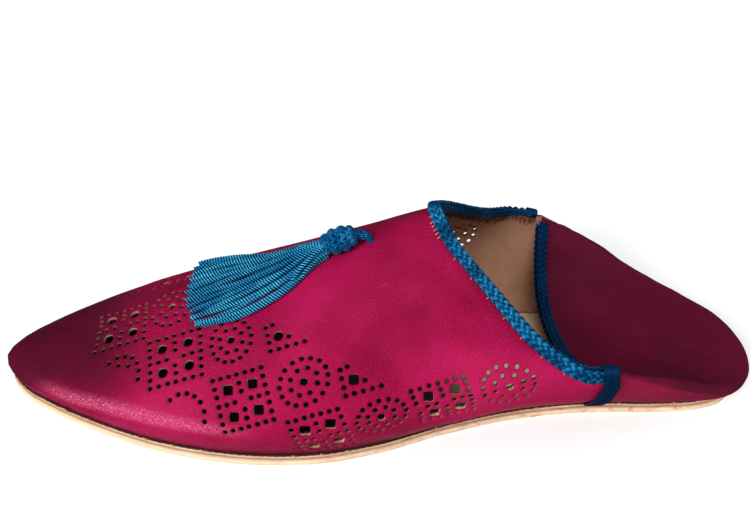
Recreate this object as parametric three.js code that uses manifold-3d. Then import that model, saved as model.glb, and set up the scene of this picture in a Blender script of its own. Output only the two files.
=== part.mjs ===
// A babouche: a heelless leather slipper with a pointed toe, its back folded down flat to walk on.
// Millimetres, +Z up. The toe points along -X, the sole rests on z = 0, and the slipper is the same
// on its left and right, so y = 0 is its middle. Only the tassel falls to one side.
import * as THREE from "three";
import { mergeVertices } from "three/addons/utils/BufferGeometryUtils.js";
import Module from "manifold-3d";

// Driving dimensions.
const SOLE_LENGTH = 270;
const TOE_SPRING = 4; // how far the toe's tip is lifted off the floor
const SPRING_FROM = -54; // the sole is flat behind this x
const OUTSOLE = 2.6; // thickness of the lower sole leather
const MIDSOLE = 1.4; // thickness of the upper sole leather
const INSOLE = 1.2; // thickness of the sock inside
const LEATHER = 1.8; // thickness of the upper, outer leather and lining together
const GAP = 0.3; // between pieces that touch
const SEAM_X = 69; // where the vamp ends and the back begins, on either side
const PEAK_X = 14.4; // the collar's highest point, on the instep
const NOSE = 14; // the ridge starts this far behind the toe's tip
const NOSE_END = -81; // behind this x the ridge and the sole's edge keep level
const UPPER_INSET = 0.8; // the sole stands out past the upper's lower edge by this much
const INSOLE_INSET = 4;
const FOLD_RADIUS = 2.6; // of the crease at the heel
const MIDSOLE_BASE = OUTSOLE + GAP;
const UPPER_BASE = MIDSOLE_BASE + MIDSOLE + GAP;

// Half the sole's width, x from toe tip to heel end.
const SOLE = [
  { x: -129.6, width: 10.2 },
  { x: -118.8, width: 18.8 },
  { x: -102.6, width: 28.6 },
  { x: -81, width: 38.6 },
  { x: -54, width: 45.8 },
  { x: -30, width: 47.4 },
  { x: -8, width: 43.8 },
  { x: 16, width: 36.2 },
  { x: 43, width: 30.2 },
  { x: 70, width: 28.2 },
  { x: 96, width: 29.8 },
  { x: 113, width: 29.4 },
  { x: 124, width: 25.6 },
  { x: 131.5, width: 17 },
];

// The vamp's cross-sections: how far it stands out past its lower edge, how high above the sole it is
// widest, how high its ridge is, and how full it is between the two (0.55 is an ellipse, 0.2 a tent).
// Behind PEAK_X the collar cuts the ridge away and only the sides are left.
const VAMP = [
  { x: -134, stand: 2.2, widest: 5.5, ridge: 10, full: 0.45 },
  { x: -126, stand: 2.4, widest: 6, ridge: 12.4, full: 0.43 },
  { x: -118, stand: 2.6, widest: 7, ridge: 15, full: 0.42 },
  { x: -102, stand: 3, widest: 8, ridge: 22, full: 0.4 },
  { x: -81, stand: 3.4, widest: 9, ridge: 30, full: 0.37 },
  { x: -54, stand: 3.8, widest: 11, ridge: 39.5, full: 0.34 },
  { x: -30, stand: 4.6, widest: 13, ridge: 48.5, full: 0.31 },
  { x: -8, stand: 8, widest: 17, ridge: 57, full: 0.28 },
  { x: 12, stand: 13.5, widest: 22, ridge: 65.5, full: 0.22 },
  { x: 20, stand: 16, widest: 24.5, ridge: 67.5, full: 0.2 },
  { x: 33, stand: 18.5, widest: 28, ridge: 67, full: 0.2 },
  { x: 43, stand: 20.5, widest: 31, ridge: 67, full: 0.2 },
  { x: 57, stand: 24, widest: 34, ridge: 67, full: 0.2 },
  { x: 69, stand: 23, widest: 33, ridge: 67, full: 0.2 },
];

// The collar's height above the sole along the vamp's side, from the instep to the seam.
const COLLAR = [
  { x: 14.4, height: 66.5 },
  { x: 15.2, height: 64.4 },
  { x: 17.2, height: 61.2 },
  { x: 21.4, height: 57 },
  { x: 26.6, height: 52.1 },
  { x: 32.6, height: 46.5 },
  { x: 38.4, height: 41.7 },
  { x: 44, height: 38.6 },
  { x: 50, height: 36.3 },
  { x: 57, height: 34.6 },
  { x: 69, height: 33 },
];

// The crease where the back folds over, along the heel: stand-out past the lower edge, and height.
const CREASE = [
  { x: 69, stand: 23, height: 33 },
  { x: 80, stand: 21, height: 29.4 },
  { x: 91, stand: 16.8, height: 24.4 },
  { x: 106, stand: 10.2, height: 15.6 },
  { x: 118, stand: 6.8, height: 9.6 },
  { x: 128, stand: 5.4, height: 6.6 },
  { x: 135, stand: 6, height: 6 },
];

// The folded back's middle line, from its free front edge to the heel.
const SPINE = [
  { at: 0, x: 62.8, height: 9.8 },
  { at: 0.3, x: 78, height: 9.4 },
  { at: 0.7, x: 103, height: 8.6 },
  { at: 1, x: 122, height: 7.6 },
];

// The tassel's skirt of cords: how far down the side its middle lies from the ridge, half its width,
// and its thickness.
const SKIRT = [
  { x: -70, side: 5.5, half: 13, thick: 3.6 },
  { x: -58, side: 4.6, half: 12, thick: 4.6 },
  { x: -46, side: 3.8, half: 9.8, thick: 5.6 },
  { x: -35, side: 3, half: 7, thick: 6.2 },
  { x: -25.6, side: 2.6, half: 4.4, thick: 6.4 },
];
const SKIRT_RINGS = 11;
const HEAD = { x: -18.6, side: 2.2, length: 12.6, width: 9.4, height: 8.4 };
const LOOP = { x: -8.7, side: 0.4, radius: 2.2, cord: 1 };
const RING = 14; // points round a tassel piece

// The braid's section round a leather edge: out from the leather, and along it past the edge.
const INSIDE = -LEATHER - 1.2; // the braid's inner leg hangs a little free of the lining
const BRAID = [
  { out: 0.4, past: -3.8 },
  { out: 1.5, past: -3.8 },
  { out: 2.1, past: -2.9 },
  { out: 2.1, past: 0.7 },
  { out: 1.2, past: 1.8 },
  { out: INSIDE - 0.6, past: 1.8 },
  { out: INSIDE - 1.4, past: 0.9 },
  { out: INSIDE - 1.4, past: -1.9 },
  { out: INSIDE - 0.8, past: -2.4 },
  { out: INSIDE, past: -2.4 },
  { out: INSIDE, past: 0.6 },
  { out: 0.4, past: 0.6 },
];
const BRAID_STOPS = 22; // on either side of the instep
const BRAID_END = 65.6; // the collar's braid stops at this x and its tape goes on down the side
const FLAP_BRAID_FROM = 14.5; // the other braid starts this far from the corner
const TAPE = { x: 63, width: 7, thick: 1.3, lean: 9, foot: 0.06 };

// How finely the pieces are divided.
const RIB_ROWS = 10;
const FLAP_ROWS = 8;
const NOSE_RIBS = 15;
const VAMP_RIBS = 14;
const COLLAR_RIBS = 17;
const HEEL_RIBS = 20;
const SOLE_RIBS = 56;

// A smooth function of `key` through a table's column, without overshoot.
function column(table, name, key = "x") {
  const xs = table.map((row) => row[key]);
  const ys = table.map((row) => row[name]);
  const slopes = xs.slice(1).map((x, i) => (ys[i + 1] - ys[i]) / (x - xs[i]));
  const tangents = xs.map((_, i) => {
    if (i === 0) return slopes[0];
    if (i === xs.length - 1) return slopes[i - 1];
    const product = slopes[i - 1] * slopes[i];
    return product <= 0 ? 0 : (2 * product) / (slopes[i - 1] + slopes[i]);
  });
  return (value) => {
    const x = THREE.MathUtils.clamp(value, xs[0], xs.at(-1));
    const i = xs.findIndex((_, k) => k === xs.length - 2 || x <= xs[k + 1]);
    const h = xs[i + 1] - xs[i];
    const t = (x - xs[i]) / h;
    return (
      (1 + 2 * t) * (1 - t) ** 2 * ys[i] +
      t * (1 - t) ** 2 * h * tangents[i] +
      t ** 2 * (3 - 2 * t) * ys[i + 1] +
      t ** 2 * (t - 1) * h * tangents[i + 1]
    );
  };
}

const stand = column(VAMP, "stand");
const widest = column(VAMP, "widest");
const ridge = column(VAMP, "ridge");
const full = column(VAMP, "full");
const collarHeight = column(COLLAR, "height");
const creaseStand = column(CREASE, "stand");
const creaseHeight = column(CREASE, "height");
const spineX = column(SPINE, "x", "at");
const spineHeight = column(SPINE, "height", "at");

// How far the sole is lifted at x.
function spring(x) {
  const reach = Math.max(0, (SPRING_FROM - x) / (SPRING_FROM + SOLE_LENGTH / 2));
  return TOE_SPRING * reach ** 2;
}

// A point of the upper, its height counted from the top of the sole.
function raised(x, y, height) {
  return new THREE.Vector3(x, y, UPPER_BASE + height + spring(x));
}

// The sole's outline as a closed curve; its first half runs along -Y from toe tip to heel end.
const outline = new THREE.CatmullRomCurve3(
  [
    new THREE.Vector3(-SOLE_LENGTH / 2, 0, 0),
    ...SOLE.map(({ x, width }) => new THREE.Vector3(x, -width, 0)),
    new THREE.Vector3(SOLE_LENGTH / 2, 0, 0),
    ...SOLE.map(({ x, width }) => new THREE.Vector3(x, width, 0)).reverse(),
  ],
  true,
  "centripetal",
);
outline.arcLengthDivisions = 1200;

// The outline at share t of the -Y side (0 toe tip, 1 heel end), and the way out from it.
function rim(t) {
  const point = outline.getPointAt(t / 2);
  const along = outline.getTangentAt(t / 2);
  if (t === 0) return { point, out: new THREE.Vector3(-1, 0, 0) };
  if (t === 1) return { point, out: new THREE.Vector3(1, 0, 0) };
  return { point, out: new THREE.Vector3(along.y, -along.x, 0).normalize() };
}

// The share of the outline where its x is this.
function shareAt(x) {
  let low = 0;
  let high = 1;
  for (let k = 0; k < 40; k++) {
    const middle = (low + high) / 2;
    if (outline.getPointAt(middle / 2).x < x) low = middle;
    else high = middle;
  }
  return (low + high) / 2;
}

const SEAM = shareAt(SEAM_X);
const PEAK = shareAt(PEAK_X);
const NOSE_SHARE = shareAt(NOSE_END);

// The ridge's x over the outline's share t: behind the toe's tip it starts NOSE back, then catches up.
function ridgeX(t) {
  if (t >= NOSE_SHARE) return rim(t).point.x;
  const step = 0.001;
  const start = -SOLE_LENGTH / 2 + NOSE;
  const slope = (rim(NOSE_SHARE + step).point.x - NOSE_END) / step;
  const bend = (slope * NOSE_SHARE - (NOSE_END - start)) / NOSE_SHARE ** 2;
  const first = (NOSE_END - start) / NOSE_SHARE - bend * NOSE_SHARE;
  return start + first * t + bend * t ** 2;
}

// The side of the upper from its lower edge out to where it is widest.
function sideArc(foot, out, reach, height, steps = 24) {
  const points = [];
  for (let k = 0; k <= steps; k++) {
    const s = k / steps;
    const away = reach * Math.sin((Math.PI / 2) * s);
    points.push(raised(foot.x + out.x * away, foot.y + out.y * away, height * s));
  }
  return points;
}

// One whole rib of the vamp from its lower edge to the ridge, as a fine line of points.
function vampRib(t) {
  const { point, out } = rim(t);
  const foot = point.clone().addScaledVector(out, -UPPER_INSET);
  const top = ridgeX(t);
  const points = sideArc(foot, out, stand(point.x), widest(point.x));
  const side = points.at(-1);
  const crown = raised(top, 0, ridge(top));
  const reach = full(top);
  const climb = (crown.z - raised(top - 2, 0, ridge(top - 2)).z) / 2;
  const shoulder = side.clone().setZ(side.z + reach * (crown.z - side.z));
  const brow = crown.clone().lerp(side, reach);
  brow.z = crown.z + climb * (brow.x - crown.x);
  const arch = new THREE.CubicBezierCurve3(side, shoulder, brow, crown);
  return [...points, ...arch.getPoints(60).slice(1)];
}

// The share of the fine rib at which it passes the collar.
function collarShare(points) {
  const over = (p) => p.z - UPPER_BASE - collarHeight(p.x);
  const last = points.findIndex((p, k) => k > 0 && over(p) >= 0);
  if (last < 0) return 1;
  const [a, b] = [over(points[last - 1]), over(points[last])];
  return (last - 1 + a / (a - b)) / (points.length - 1);
}

// The point at this share of a fine rib.
function along(points, share) {
  const at = THREE.MathUtils.clamp(share, 0, 1) * (points.length - 1);
  const k = Math.min(points.length - 2, Math.floor(at));
  return points[k].clone().lerp(points[k + 1], at - k);
}

// A rib from the foot's x up to the collar at another x, leaning between the two.
function collarRib(footX, collarX) {
  const cut = collarShare(vampRib(shareAt(collarX)));
  const steps = 40;
  return Array.from({ length: steps + 1 }, (_, k) => {
    const s = k / steps;
    const x = THREE.MathUtils.lerp(footX, collarX, s ** 1.5);
    return along(vampRib(shareAt(x)), cut * s);
  });
}

// A line of points shared out again into equal steps.
function evenly(points, steps) {
  const lengths = [0];
  for (let k = 1; k < points.length; k++) {
    lengths.push(lengths[k - 1] + points[k].distanceTo(points[k - 1]));
  }
  const even = [];
  for (let k = 0, i = 1; k <= steps; k++) {
    const at = (lengths.at(-1) * k) / steps;
    while (i < points.length - 1 && lengths[i] < at) i++;
    const span = lengths[i] - lengths[i - 1] || 1;
    even.push(points[i - 1].clone().lerp(points[i], THREE.MathUtils.clamp((at - lengths[i - 1]) / span, 0, 1)));
  }
  return even;
}

// The low wall of the back, from its lower edge to just under the crease.
function wallRib(t) {
  const { point, out } = rim(t);
  const foot = point.clone().addScaledVector(out, -UPPER_INSET);
  const height = creaseHeight(point.x) - foldRadius(t);
  return sideArc(foot, out, creaseStand(point.x), height);
}

function foldRadius(t) {
  return FOLD_RADIUS * THREE.MathUtils.smoothstep((t - SEAM) / (1 - SEAM), 0, 0.35);
}

// The folded back, from the crease over to its middle line.
function flapRib(t) {
  const { point, out } = rim(t);
  const share = (t - SEAM) / (1 - SEAM);
  const radius = foldRadius(t);
  const crest = wallRib(t).at(-1);
  const points = [crest];
  if (radius > 0.2) {
    for (const angle of [0.5, 1, 1.4]) {
      const inward = radius * (1 - Math.cos(angle));
      const up = radius * Math.sin(angle);
      points.push(crest.clone().addScaledVector(out, -inward).setZ(crest.z + up));
    }
  }
  const from = points.at(-1);
  const middle = raised(spineX(share), 0, spineHeight(share));
  const power = THREE.MathUtils.lerp(2.3, 1.5, share);
  for (let k = 1; k <= 24; k++) {
    const r = 1 - k / 24;
    const sag = r ** power;
    const x = middle.x + (from.x - middle.x) * THREE.MathUtils.lerp(sag, r, share);
    points.push(new THREE.Vector3(x, from.y * r, middle.z + (from.z - middle.z) * sag));
  }
  return points;
}

// Rows of points in a grid to triangles; the far side is the mirror image of the near one.
function patch(ribs) {
  const triangles = [];
  for (let i = 0; i + 1 < ribs.length; i++) {
    for (let j = 0; j + 1 < ribs[i].length; j++) {
      const [a, b, c, d] = [ribs[i][j], ribs[i + 1][j], ribs[i + 1][j + 1], ribs[i][j + 1]];
      triangles.push([a, b, c], [a, c, d]);
    }
  }
  const mirror = (p) => new THREE.Vector3(p.x, -p.y, p.z);
  return [...triangles, ...triangles.map(([a, b, c]) => [mirror(a), mirror(c), mirror(b)])];
}

// Triangles to an indexed list of points, with the slivers left out.
function weld(triangles) {
  const points = [];
  const index = new Map();
  const number = (p) => {
    const key = [p.x, p.y, p.z].map((v) => Math.round(v * 500)).join();
    if (!index.has(key)) index.set(key, points.push(p.clone()) - 1);
    return index.get(key);
  };
  const faces = triangles.map((triangle) => triangle.map(number));
  return { points, faces: faces.filter(([a, b, c]) => a !== b && b !== c && c !== a) };
}

// A sheet given its thickness inwards, closed round every free edge; its lower edge stays level.
function thicken({ points, faces }, thickness) {
  const normals = points.map(() => new THREE.Vector3());
  const faceNormals = faces.map(([a, b, c]) => {
    const ab = points[b].clone().sub(points[a]);
    const ac = points[c].clone().sub(points[a]);
    return ab.cross(ac).normalize();
  });
  faces.forEach((face, f) => {
    face.forEach((v, k) => {
      const one = points[face[(k + 1) % 3]].clone().sub(points[v]);
      const other = points[face[(k + 2) % 3]].clone().sub(points[v]);
      normals[v].addScaledVector(faceNormals[f], one.angleTo(other));
    });
  });
  normals.forEach((n) => n.normalize());
  const mitre = points.map(() => 1);
  faces.forEach((face, f) => {
    face.forEach((v) => {
      mitre[v] = Math.min(mitre[v], Math.max(0.62, normals[v].dot(faceNormals[f])));
    });
  });
  const inner = points.map((p, v) => {
    const n = normals[v].clone();
    const level = Math.abs(p.z - UPPER_BASE - spring(p.x)) < 0.01;
    if (!level) return p.clone().addScaledVector(n, -thickness / mitre[v]);
    const lean = Math.max(0.6, Math.hypot(n.x, n.y));
    n.setZ(0).normalize();
    const moved = p.clone().addScaledVector(n, -thickness / lean);
    return moved.setZ(UPPER_BASE + spring(moved.x));
  });
  const edges = new Map();
  for (const [a, b, c] of faces) {
    for (const [p, q] of [[a, b], [b, c], [c, a]]) edges.set(`${p},${q}`, [p, q]);
  }
  const shift = points.length;
  const all = [...faces, ...faces.map(([a, b, c]) => [a + shift, c + shift, b + shift])];
  for (const [p, q] of edges.values()) {
    if (edges.has(`${q},${p}`)) continue;
    all.push([q, p, p + shift], [q, p + shift, q + shift]);
  }
  return geometry([...points, ...inner], all);
}

// An indexed geometry that faces outwards.
function geometry(points, faces) {
  let volume = 0;
  for (const [a, b, c] of faces) {
    volume += points[a].dot(points[b].clone().cross(points[c]));
  }
  const outward = volume > 0 ? faces : faces.map(([a, b, c]) => [a, c, b]);
  const made = new THREE.BufferGeometry().setFromPoints(points);
  made.setIndex(outward.flat());
  return made;
}

// Rings of points joined into one closed solid, its two ends closed by the section's own shape.
function loft(rings, section) {
  const count = rings[0].length;
  const faces = [];
  for (let i = 0; i + 1 < rings.length; i++) {
    for (let j = 0; j < count; j++) {
      const [a, b] = [i * count + j, i * count + ((j + 1) % count)];
      faces.push([a, b, b + count], [a, b + count, a + count]);
    }
  }
  const last = (rings.length - 1) * count;
  for (const [a, b, c] of THREE.ShapeUtils.triangulateShape(section, [])) {
    faces.push([c, b, a], [last + a, last + b, last + c]);
  }
  return geometry(rings.flat(), faces);
}

const mirrored = (p) => new THREE.Vector3(p.x, -p.y, p.z);

// A smooth surface's outward normal from two ways along it.
function outward(first, second) {
  const normal = first.clone().cross(second).normalize();
  return normal.z < -0.2 || (Math.abs(normal.z) <= 0.2 && normal.y > 0) ? normal.negate() : normal;
}

// The braid swept along an edge: each stop has its place, the leather's outward way and the edge's.
function braided(stops) {
  const rings = stops.map(({ place, normal, way }) => {
    const past = way.clone().cross(normal).normalize();
    return BRAID.map((corner) =>
      place.clone().addScaledVector(normal, corner.out).addScaledVector(past, corner.past),
    );
  });
  return loft(rings, BRAID.map(({ out, past }) => new THREE.Vector2(out, past)));
}

// A point of the vamp's skin at this x, this far down the side from the ridge, and its normal.
function skin(x, side) {
  const down = (at, distance) => {
    const rib = vampRib(shareAt(at)).reverse();
    let left = Math.abs(distance);
    for (let k = 1; k < rib.length; k++) {
      const step = rib[k].distanceTo(rib[k - 1]);
      if (left <= step) {
        const p = rib[k - 1].clone().lerp(rib[k], left / step);
        return distance < 0 ? mirrored(p) : p;
      }
      left -= step;
    }
    return rib.at(-1);
  };
  const place = down(x, side);
  const forward = down(x + 0.5, side).sub(down(x - 0.5, side));
  const across = down(x, side + 0.5).sub(down(x, side - 0.5));
  return { place, normal: outward(forward, across) };
}

// One ring of the tassel lying on the vamp.
function lying(x, side, half, thick, rise) {
  return Array.from({ length: RING }, (_, k) => {
    const angle = (2 * Math.PI * k) / RING;
    const { place, normal } = skin(x, side + half * Math.cos(angle));
    return place.addScaledVector(normal, rise + (thick / 2) * Math.sin(angle));
  });
}

const ROUND = Array.from({ length: RING }, (_, k) => {
  const angle = (2 * Math.PI * k) / RING;
  return new THREE.Vector2(Math.cos(angle), Math.sin(angle));
});

function tasselSkirt() {
  const side = column(SKIRT, "side");
  const half = column(SKIRT, "half");
  const thick = column(SKIRT, "thick");
  const rings = [];
  for (let k = 0; k < SKIRT_RINGS; k++) {
    const x = THREE.MathUtils.lerp(SKIRT[0].x, SKIRT.at(-1).x, k / (SKIRT_RINGS - 1));
    rings.push(lying(x, side(x), half(x), thick(x), GAP + 0.3 + thick(x) / 2));
  }
  return loft(rings, ROUND);
}

function tasselHead() {
  const rings = [];
  for (let k = 1; k < 10; k++) {
    const angle = (Math.PI * k) / 10;
    const girth = Math.sin(angle) ** 0.7;
    const x = HEAD.x - (HEAD.length / 2) * Math.cos(angle);
    rings.push(lying(x, HEAD.side, (HEAD.width / 2) * girth, HEAD.height * girth, GAP + 0.3 + HEAD.height / 2));
  }
  return loft(rings, ROUND);
}

// The loop that ties the tassel to the leather, lying flat on it.
function tasselLoop() {
  const { place, normal } = skin(LOOP.x, LOOP.side);
  const loop = new THREE.TorusGeometry(LOOP.radius, LOOP.cord, 8, 16);
  loop.deleteAttribute("uv");
  loop.deleteAttribute("normal");
  loop.applyQuaternion(new THREE.Quaternion().setFromUnitVectors(new THREE.Vector3(0, 0, 1), normal));
  loop.translate(...place.addScaledVector(normal, GAP + 0.3 + LOOP.cord).toArray());
  return mergeVertices(loop, 0.001);
}

// A point of the side at this x, as a share of the way up to its free edge or crease.
function sideAt(x, share) {
  if (x > SEAM_X) return along(wallRib(shareAt(x)), share);
  const rib = vampRib(shareAt(x));
  return along(rib, collarShare(rib) * share);
}

// The tape that runs down the outside from the collar's end to the sole.
function sideTape() {
  const across = 5;
  const down = 9;
  const columns = [];
  for (let i = 0; i <= across; i++) {
    const row = [];
    for (let j = 0; j <= down; j++) {
      const share = THREE.MathUtils.lerp(TAPE.foot, 0.99, j / down);
      const x = TAPE.x + TAPE.lean * (1 - share) + TAPE.width * (i / across - 0.5);
      const forward = sideAt(x + 0.6, share).sub(sideAt(x - 0.6, share));
      const up = sideAt(x, share + 0.01).sub(sideAt(x, share - 0.01));
      const normal = forward.cross(up).normalize();
      if (normal.y > 0) normal.negate();
      row.push(sideAt(x, share).addScaledVector(normal, GAP + TAPE.thick));
    }
    columns.push(row);
  }
  const both = weld(patch(columns));
  return thicken(both, TAPE.thick);
}

const wasm = await Module();
wasm.setup();

// Overlapping closed solids made into one.
function united(shapes) {
  const solids = shapes.map((shape) => {
    const vertProperties = new Float32Array(shape.attributes.position.array);
    const triVerts = new Uint32Array(shape.index.array);
    return new wasm.Manifold(new wasm.Mesh({ numProp: 3, vertProperties, triVerts }));
  });
  const mesh = solids.reduce((sum, solid) => sum.add(solid)).getMesh();
  const made = new THREE.BufferGeometry();
  made.setAttribute("position", new THREE.BufferAttribute(mesh.vertProperties, 3));
  made.setIndex([...mesh.triVerts]);
  return made;
}

// The collar's stops from one seam over the instep to the other.
function collarStops() {
  const near = [];
  for (let k = BRAID_STOPS; k >= 1; k--) {
    const x = THREE.MathUtils.lerp(PEAK_X, BRAID_END, (k / BRAID_STOPS) ** 1.5);
    const at = (away, more = 0) => {
      const rib = vampRib(shareAt(x + away));
      return along(rib, collarShare(vampRib(shareAt(x))) + more);
    };
    const step = Math.min(0.5, (x - PEAK_X) / 2);
    near.push({ place: at(0), normal: outward(at(step).sub(at(-step)), at(0).sub(at(0, -0.01))) });
  }
  const climb = (ridge(PEAK_X) - ridge(PEAK_X - 4)) / 4;
  const peak = { place: raised(PEAK_X, 0, ridge(PEAK_X)), normal: new THREE.Vector3(-climb, 0, 1).normalize() };
  const far = near.map(({ place, normal }) => ({ place: mirrored(place), normal: mirrored(normal) }));
  return facing([...near, peak, ...far.reverse()]);
}

// The folded back's front edge from side to side.
function flapStops() {
  const from = 0.5 / SOLE_LENGTH;
  const edge = evenly(flapRib(SEAM), 40);
  const behind = evenly(flapRib(SEAM + from), 40);
  const near = [];
  let gone = 0;
  for (let k = 1; k < edge.length; k++) {
    gone += edge[k].distanceTo(edge[k - 1]);
    if (gone < FLAP_BRAID_FROM || k % 3 !== 1) continue;
    const way = edge[Math.min(k + 1, 40)].clone().sub(edge[k - 1]);
    near.push({ place: edge[k], normal: outward(way, behind[k].clone().sub(edge[k])) });
  }
  near.at(-1).normal.setY(0).normalize();
  const far = near.slice(0, -1).map(({ place, normal }) => ({ place: mirrored(place), normal: mirrored(normal) }));
  return facing([...far, ...near.reverse()]);
}

// Stops with the way along their edge, each square to its normal.
function facing(stops) {
  return stops.map(({ place, normal }, k) => {
    const way = stops[Math.min(k + 1, stops.length - 1)].place.clone().sub(stops[Math.max(k - 1, 0)].place);
    way.addScaledVector(normal, -way.dot(normal)).normalize();
    return { place, normal, way };
  });
}

// One layer of the sole between two heights, following the toe's lift.
function layer(low, high, inset, round = 0) {
  const side = (t, inward) => {
    const { point, out } = rim(t);
    return point.clone().addScaledVector(out, -inward);
  };
  const rows = [
    { inward: inset + round, z: low },
    { inward: inset, z: low + round },
    { inward: inset, z: high - round / 2 },
    { inward: inset + round / 2, z: high },
  ].filter((row, k) => round > 0 || k === 0 || k === 3);
  const points = [];
  const faces = [];
  const around = 2 * SOLE_RIBS;
  for (const { inward, z } of rows) {
    for (let k = 0; k < around; k++) {
      const t = k <= SOLE_RIBS ? k / SOLE_RIBS : (around - k) / SOLE_RIBS;
      const p = side(t, inward);
      points.push(new THREE.Vector3(p.x, k <= SOLE_RIBS ? p.y : -p.y, z + spring(p.x)));
    }
  }
  for (let r = 0; r + 1 < rows.length; r++) {
    for (let k = 0; k < around; k++) {
      const [a, b] = [r * around + k, r * around + ((k + 1) % around)];
      faces.push([a, b, b + around], [a, b + around, a + around]);
    }
  }
  const top = (rows.length - 1) * around;
  for (let k = 0; k < SOLE_RIBS; k++) {
    const [a, b] = [k, k + 1];
    const [c, d] = [(around - b) % around, (around - a) % around];
    if (b !== c) {
      faces.push([a, c, b]);
      faces.push([top + a, top + b, top + c]);
    }
    if (a !== d) {
      faces.push([a, d, c]);
      faces.push([top + a, top + c, top + d]);
    }
  }
  return geometry(points, faces);
}

// Shares of the outline where the vamp's ribs stand, closer at the toe and round the instep.
const vampShares = [];
for (let k = 0; k < NOSE_RIBS; k++) vampShares.push(NOSE_SHARE * (k / NOSE_RIBS) ** 1.25);
for (let k = 0; k < VAMP_RIBS; k++) {
  vampShares.push(NOSE_SHARE + (PEAK - NOSE_SHARE) * (k / VAMP_RIBS));
}
vampShares.push(PEAK);
const heelShares = Array.from({ length: HEEL_RIBS + 1 }, (_, k) => SEAM + (1 - SEAM) * (k / HEEL_RIBS));

const seamRib = evenly(wallRib(SEAM), RIB_ROWS);
const vampRibs = vampShares.map((t) => evenly(vampRib(t), RIB_ROWS));
for (let k = 1; k < COLLAR_RIBS; k++) {
  const foot = THREE.MathUtils.lerp(PEAK_X, SEAM_X, k / COLLAR_RIBS);
  const top = THREE.MathUtils.lerp(PEAK_X, SEAM_X, (k / COLLAR_RIBS) ** 1.6);
  vampRibs.push(evenly(collarRib(foot, top), RIB_ROWS));
}
vampRibs.push(seamRib);
const wallRibs = heelShares.map((t) => (t === SEAM ? seamRib : evenly(wallRib(t), RIB_ROWS)));
const flapRibs = heelShares.map((t) => evenly(flapRib(t), FLAP_ROWS));
const upperSheet = weld([...patch(vampRibs), ...patch(wallRibs), ...patch(flapRibs)]);

const tapes = sideTape();
const pieces = {
  outsole: { colour: 0xd8b78e, roughness: 0.75, shape: layer(0, OUTSOLE, 0, 0.5) },
  midsole: { colour: 0xb98a68, roughness: 0.75, shape: layer(MIDSOLE_BASE, MIDSOLE_BASE + MIDSOLE, 0) },
  insole: { colour: 0xd9bf9c, roughness: 0.7, shape: layer(UPPER_BASE, UPPER_BASE + INSOLE, INSOLE_INSET) },
  upper: { colour: 0xb31850, roughness: 0.45, shape: thicken(upperSheet, LEATHER) },
  collar_braid: { colour: 0x0a5f96, roughness: 0.4, shape: united([braided(collarStops()), tapes]) },
  flap_braid: { colour: 0x0a4a78, roughness: 0.4, shape: braided(flapStops()) },
  tassel_skirt: { colour: 0x0f8cc0, roughness: 0.35, shape: tasselSkirt() },
  tassel_head: { colour: 0x0d7cb0, roughness: 0.35, shape: tasselHead() },
  tassel_loop: { colour: 0x0d7cb0, roughness: 0.35, shape: tasselLoop() },
};

// Everything is set down with its own middle over the origin.
const reach = new THREE.Box3();
for (const { shape } of Object.values(pieces)) {
  shape.computeBoundingBox();
  reach.union(shape.boundingBox);
}
const group = new THREE.Group();
group.name = "babouche";
for (const [name, { colour, roughness, shape }] of Object.entries(pieces)) {
  shape.translate(-(reach.min.x + reach.max.x) / 2, 0, 0);
  shape.computeVertexNormals();
  const mesh = new THREE.Mesh(shape, new THREE.MeshStandardMaterial({ color: colour, roughness, metalness: 0 }));
  mesh.name = name;
  group.add(mesh);
}

export default group;
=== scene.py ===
"""A heelless leather slipper with its back folded flat, finished over its fixed frame."""
import math
from bisect import bisect_right

import bpy
from mathutils import Matrix, Vector, noise
from mathutils.geometry import delaunay_2d_cdt


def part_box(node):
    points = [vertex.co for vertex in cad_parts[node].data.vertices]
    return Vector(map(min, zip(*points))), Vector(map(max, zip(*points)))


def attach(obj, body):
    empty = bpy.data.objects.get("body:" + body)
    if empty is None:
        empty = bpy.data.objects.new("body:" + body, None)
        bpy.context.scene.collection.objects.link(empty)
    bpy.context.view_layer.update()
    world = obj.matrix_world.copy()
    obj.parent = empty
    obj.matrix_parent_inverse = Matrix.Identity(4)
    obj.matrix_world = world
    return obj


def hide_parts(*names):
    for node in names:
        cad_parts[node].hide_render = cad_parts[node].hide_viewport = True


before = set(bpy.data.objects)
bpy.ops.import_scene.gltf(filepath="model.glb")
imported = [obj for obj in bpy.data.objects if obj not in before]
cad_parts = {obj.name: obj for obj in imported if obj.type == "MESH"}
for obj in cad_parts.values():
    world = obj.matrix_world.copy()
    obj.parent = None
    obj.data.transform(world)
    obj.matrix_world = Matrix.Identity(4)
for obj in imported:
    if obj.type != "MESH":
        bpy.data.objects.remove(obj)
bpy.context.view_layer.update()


def rows(names, *values):
    """A table: one dict for each row of values."""
    return [dict(zip(names.split(), row)) for row in values]


# ---------------------------------------------------------------- sizes, in millimetres
SOLE_LENGTH = 270
TOE_SPRING = 4
SPRING_FROM = -54
UPPER_BASE = 4.6
LEATHER = 1.8
UPPER_INSET = 0.8
SEAM_X = 69
PEAK_X = 14.4
EDGE_STEPS = 60
NOSE = 14
NOSE_END = -81
FOLD_RADIUS = 2.6
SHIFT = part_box("outsole")[0][0] * 1000 + SOLE_LENGTH / 2  # from the tables' x to the frame's

# Half the sole's width.
SOLE = rows(
    "x width",
    (-129.6, 10.2), (-118.8, 18.8), (-102.6, 28.6), (-81, 38.6), (-54, 45.8), (-30, 47.4),
    (-8, 43.8), (16, 36.2), (43, 30.2), (70, 28.2), (96, 29.8), (113, 29.4), (124, 25.6),
    (131.5, 17),
)
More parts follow.
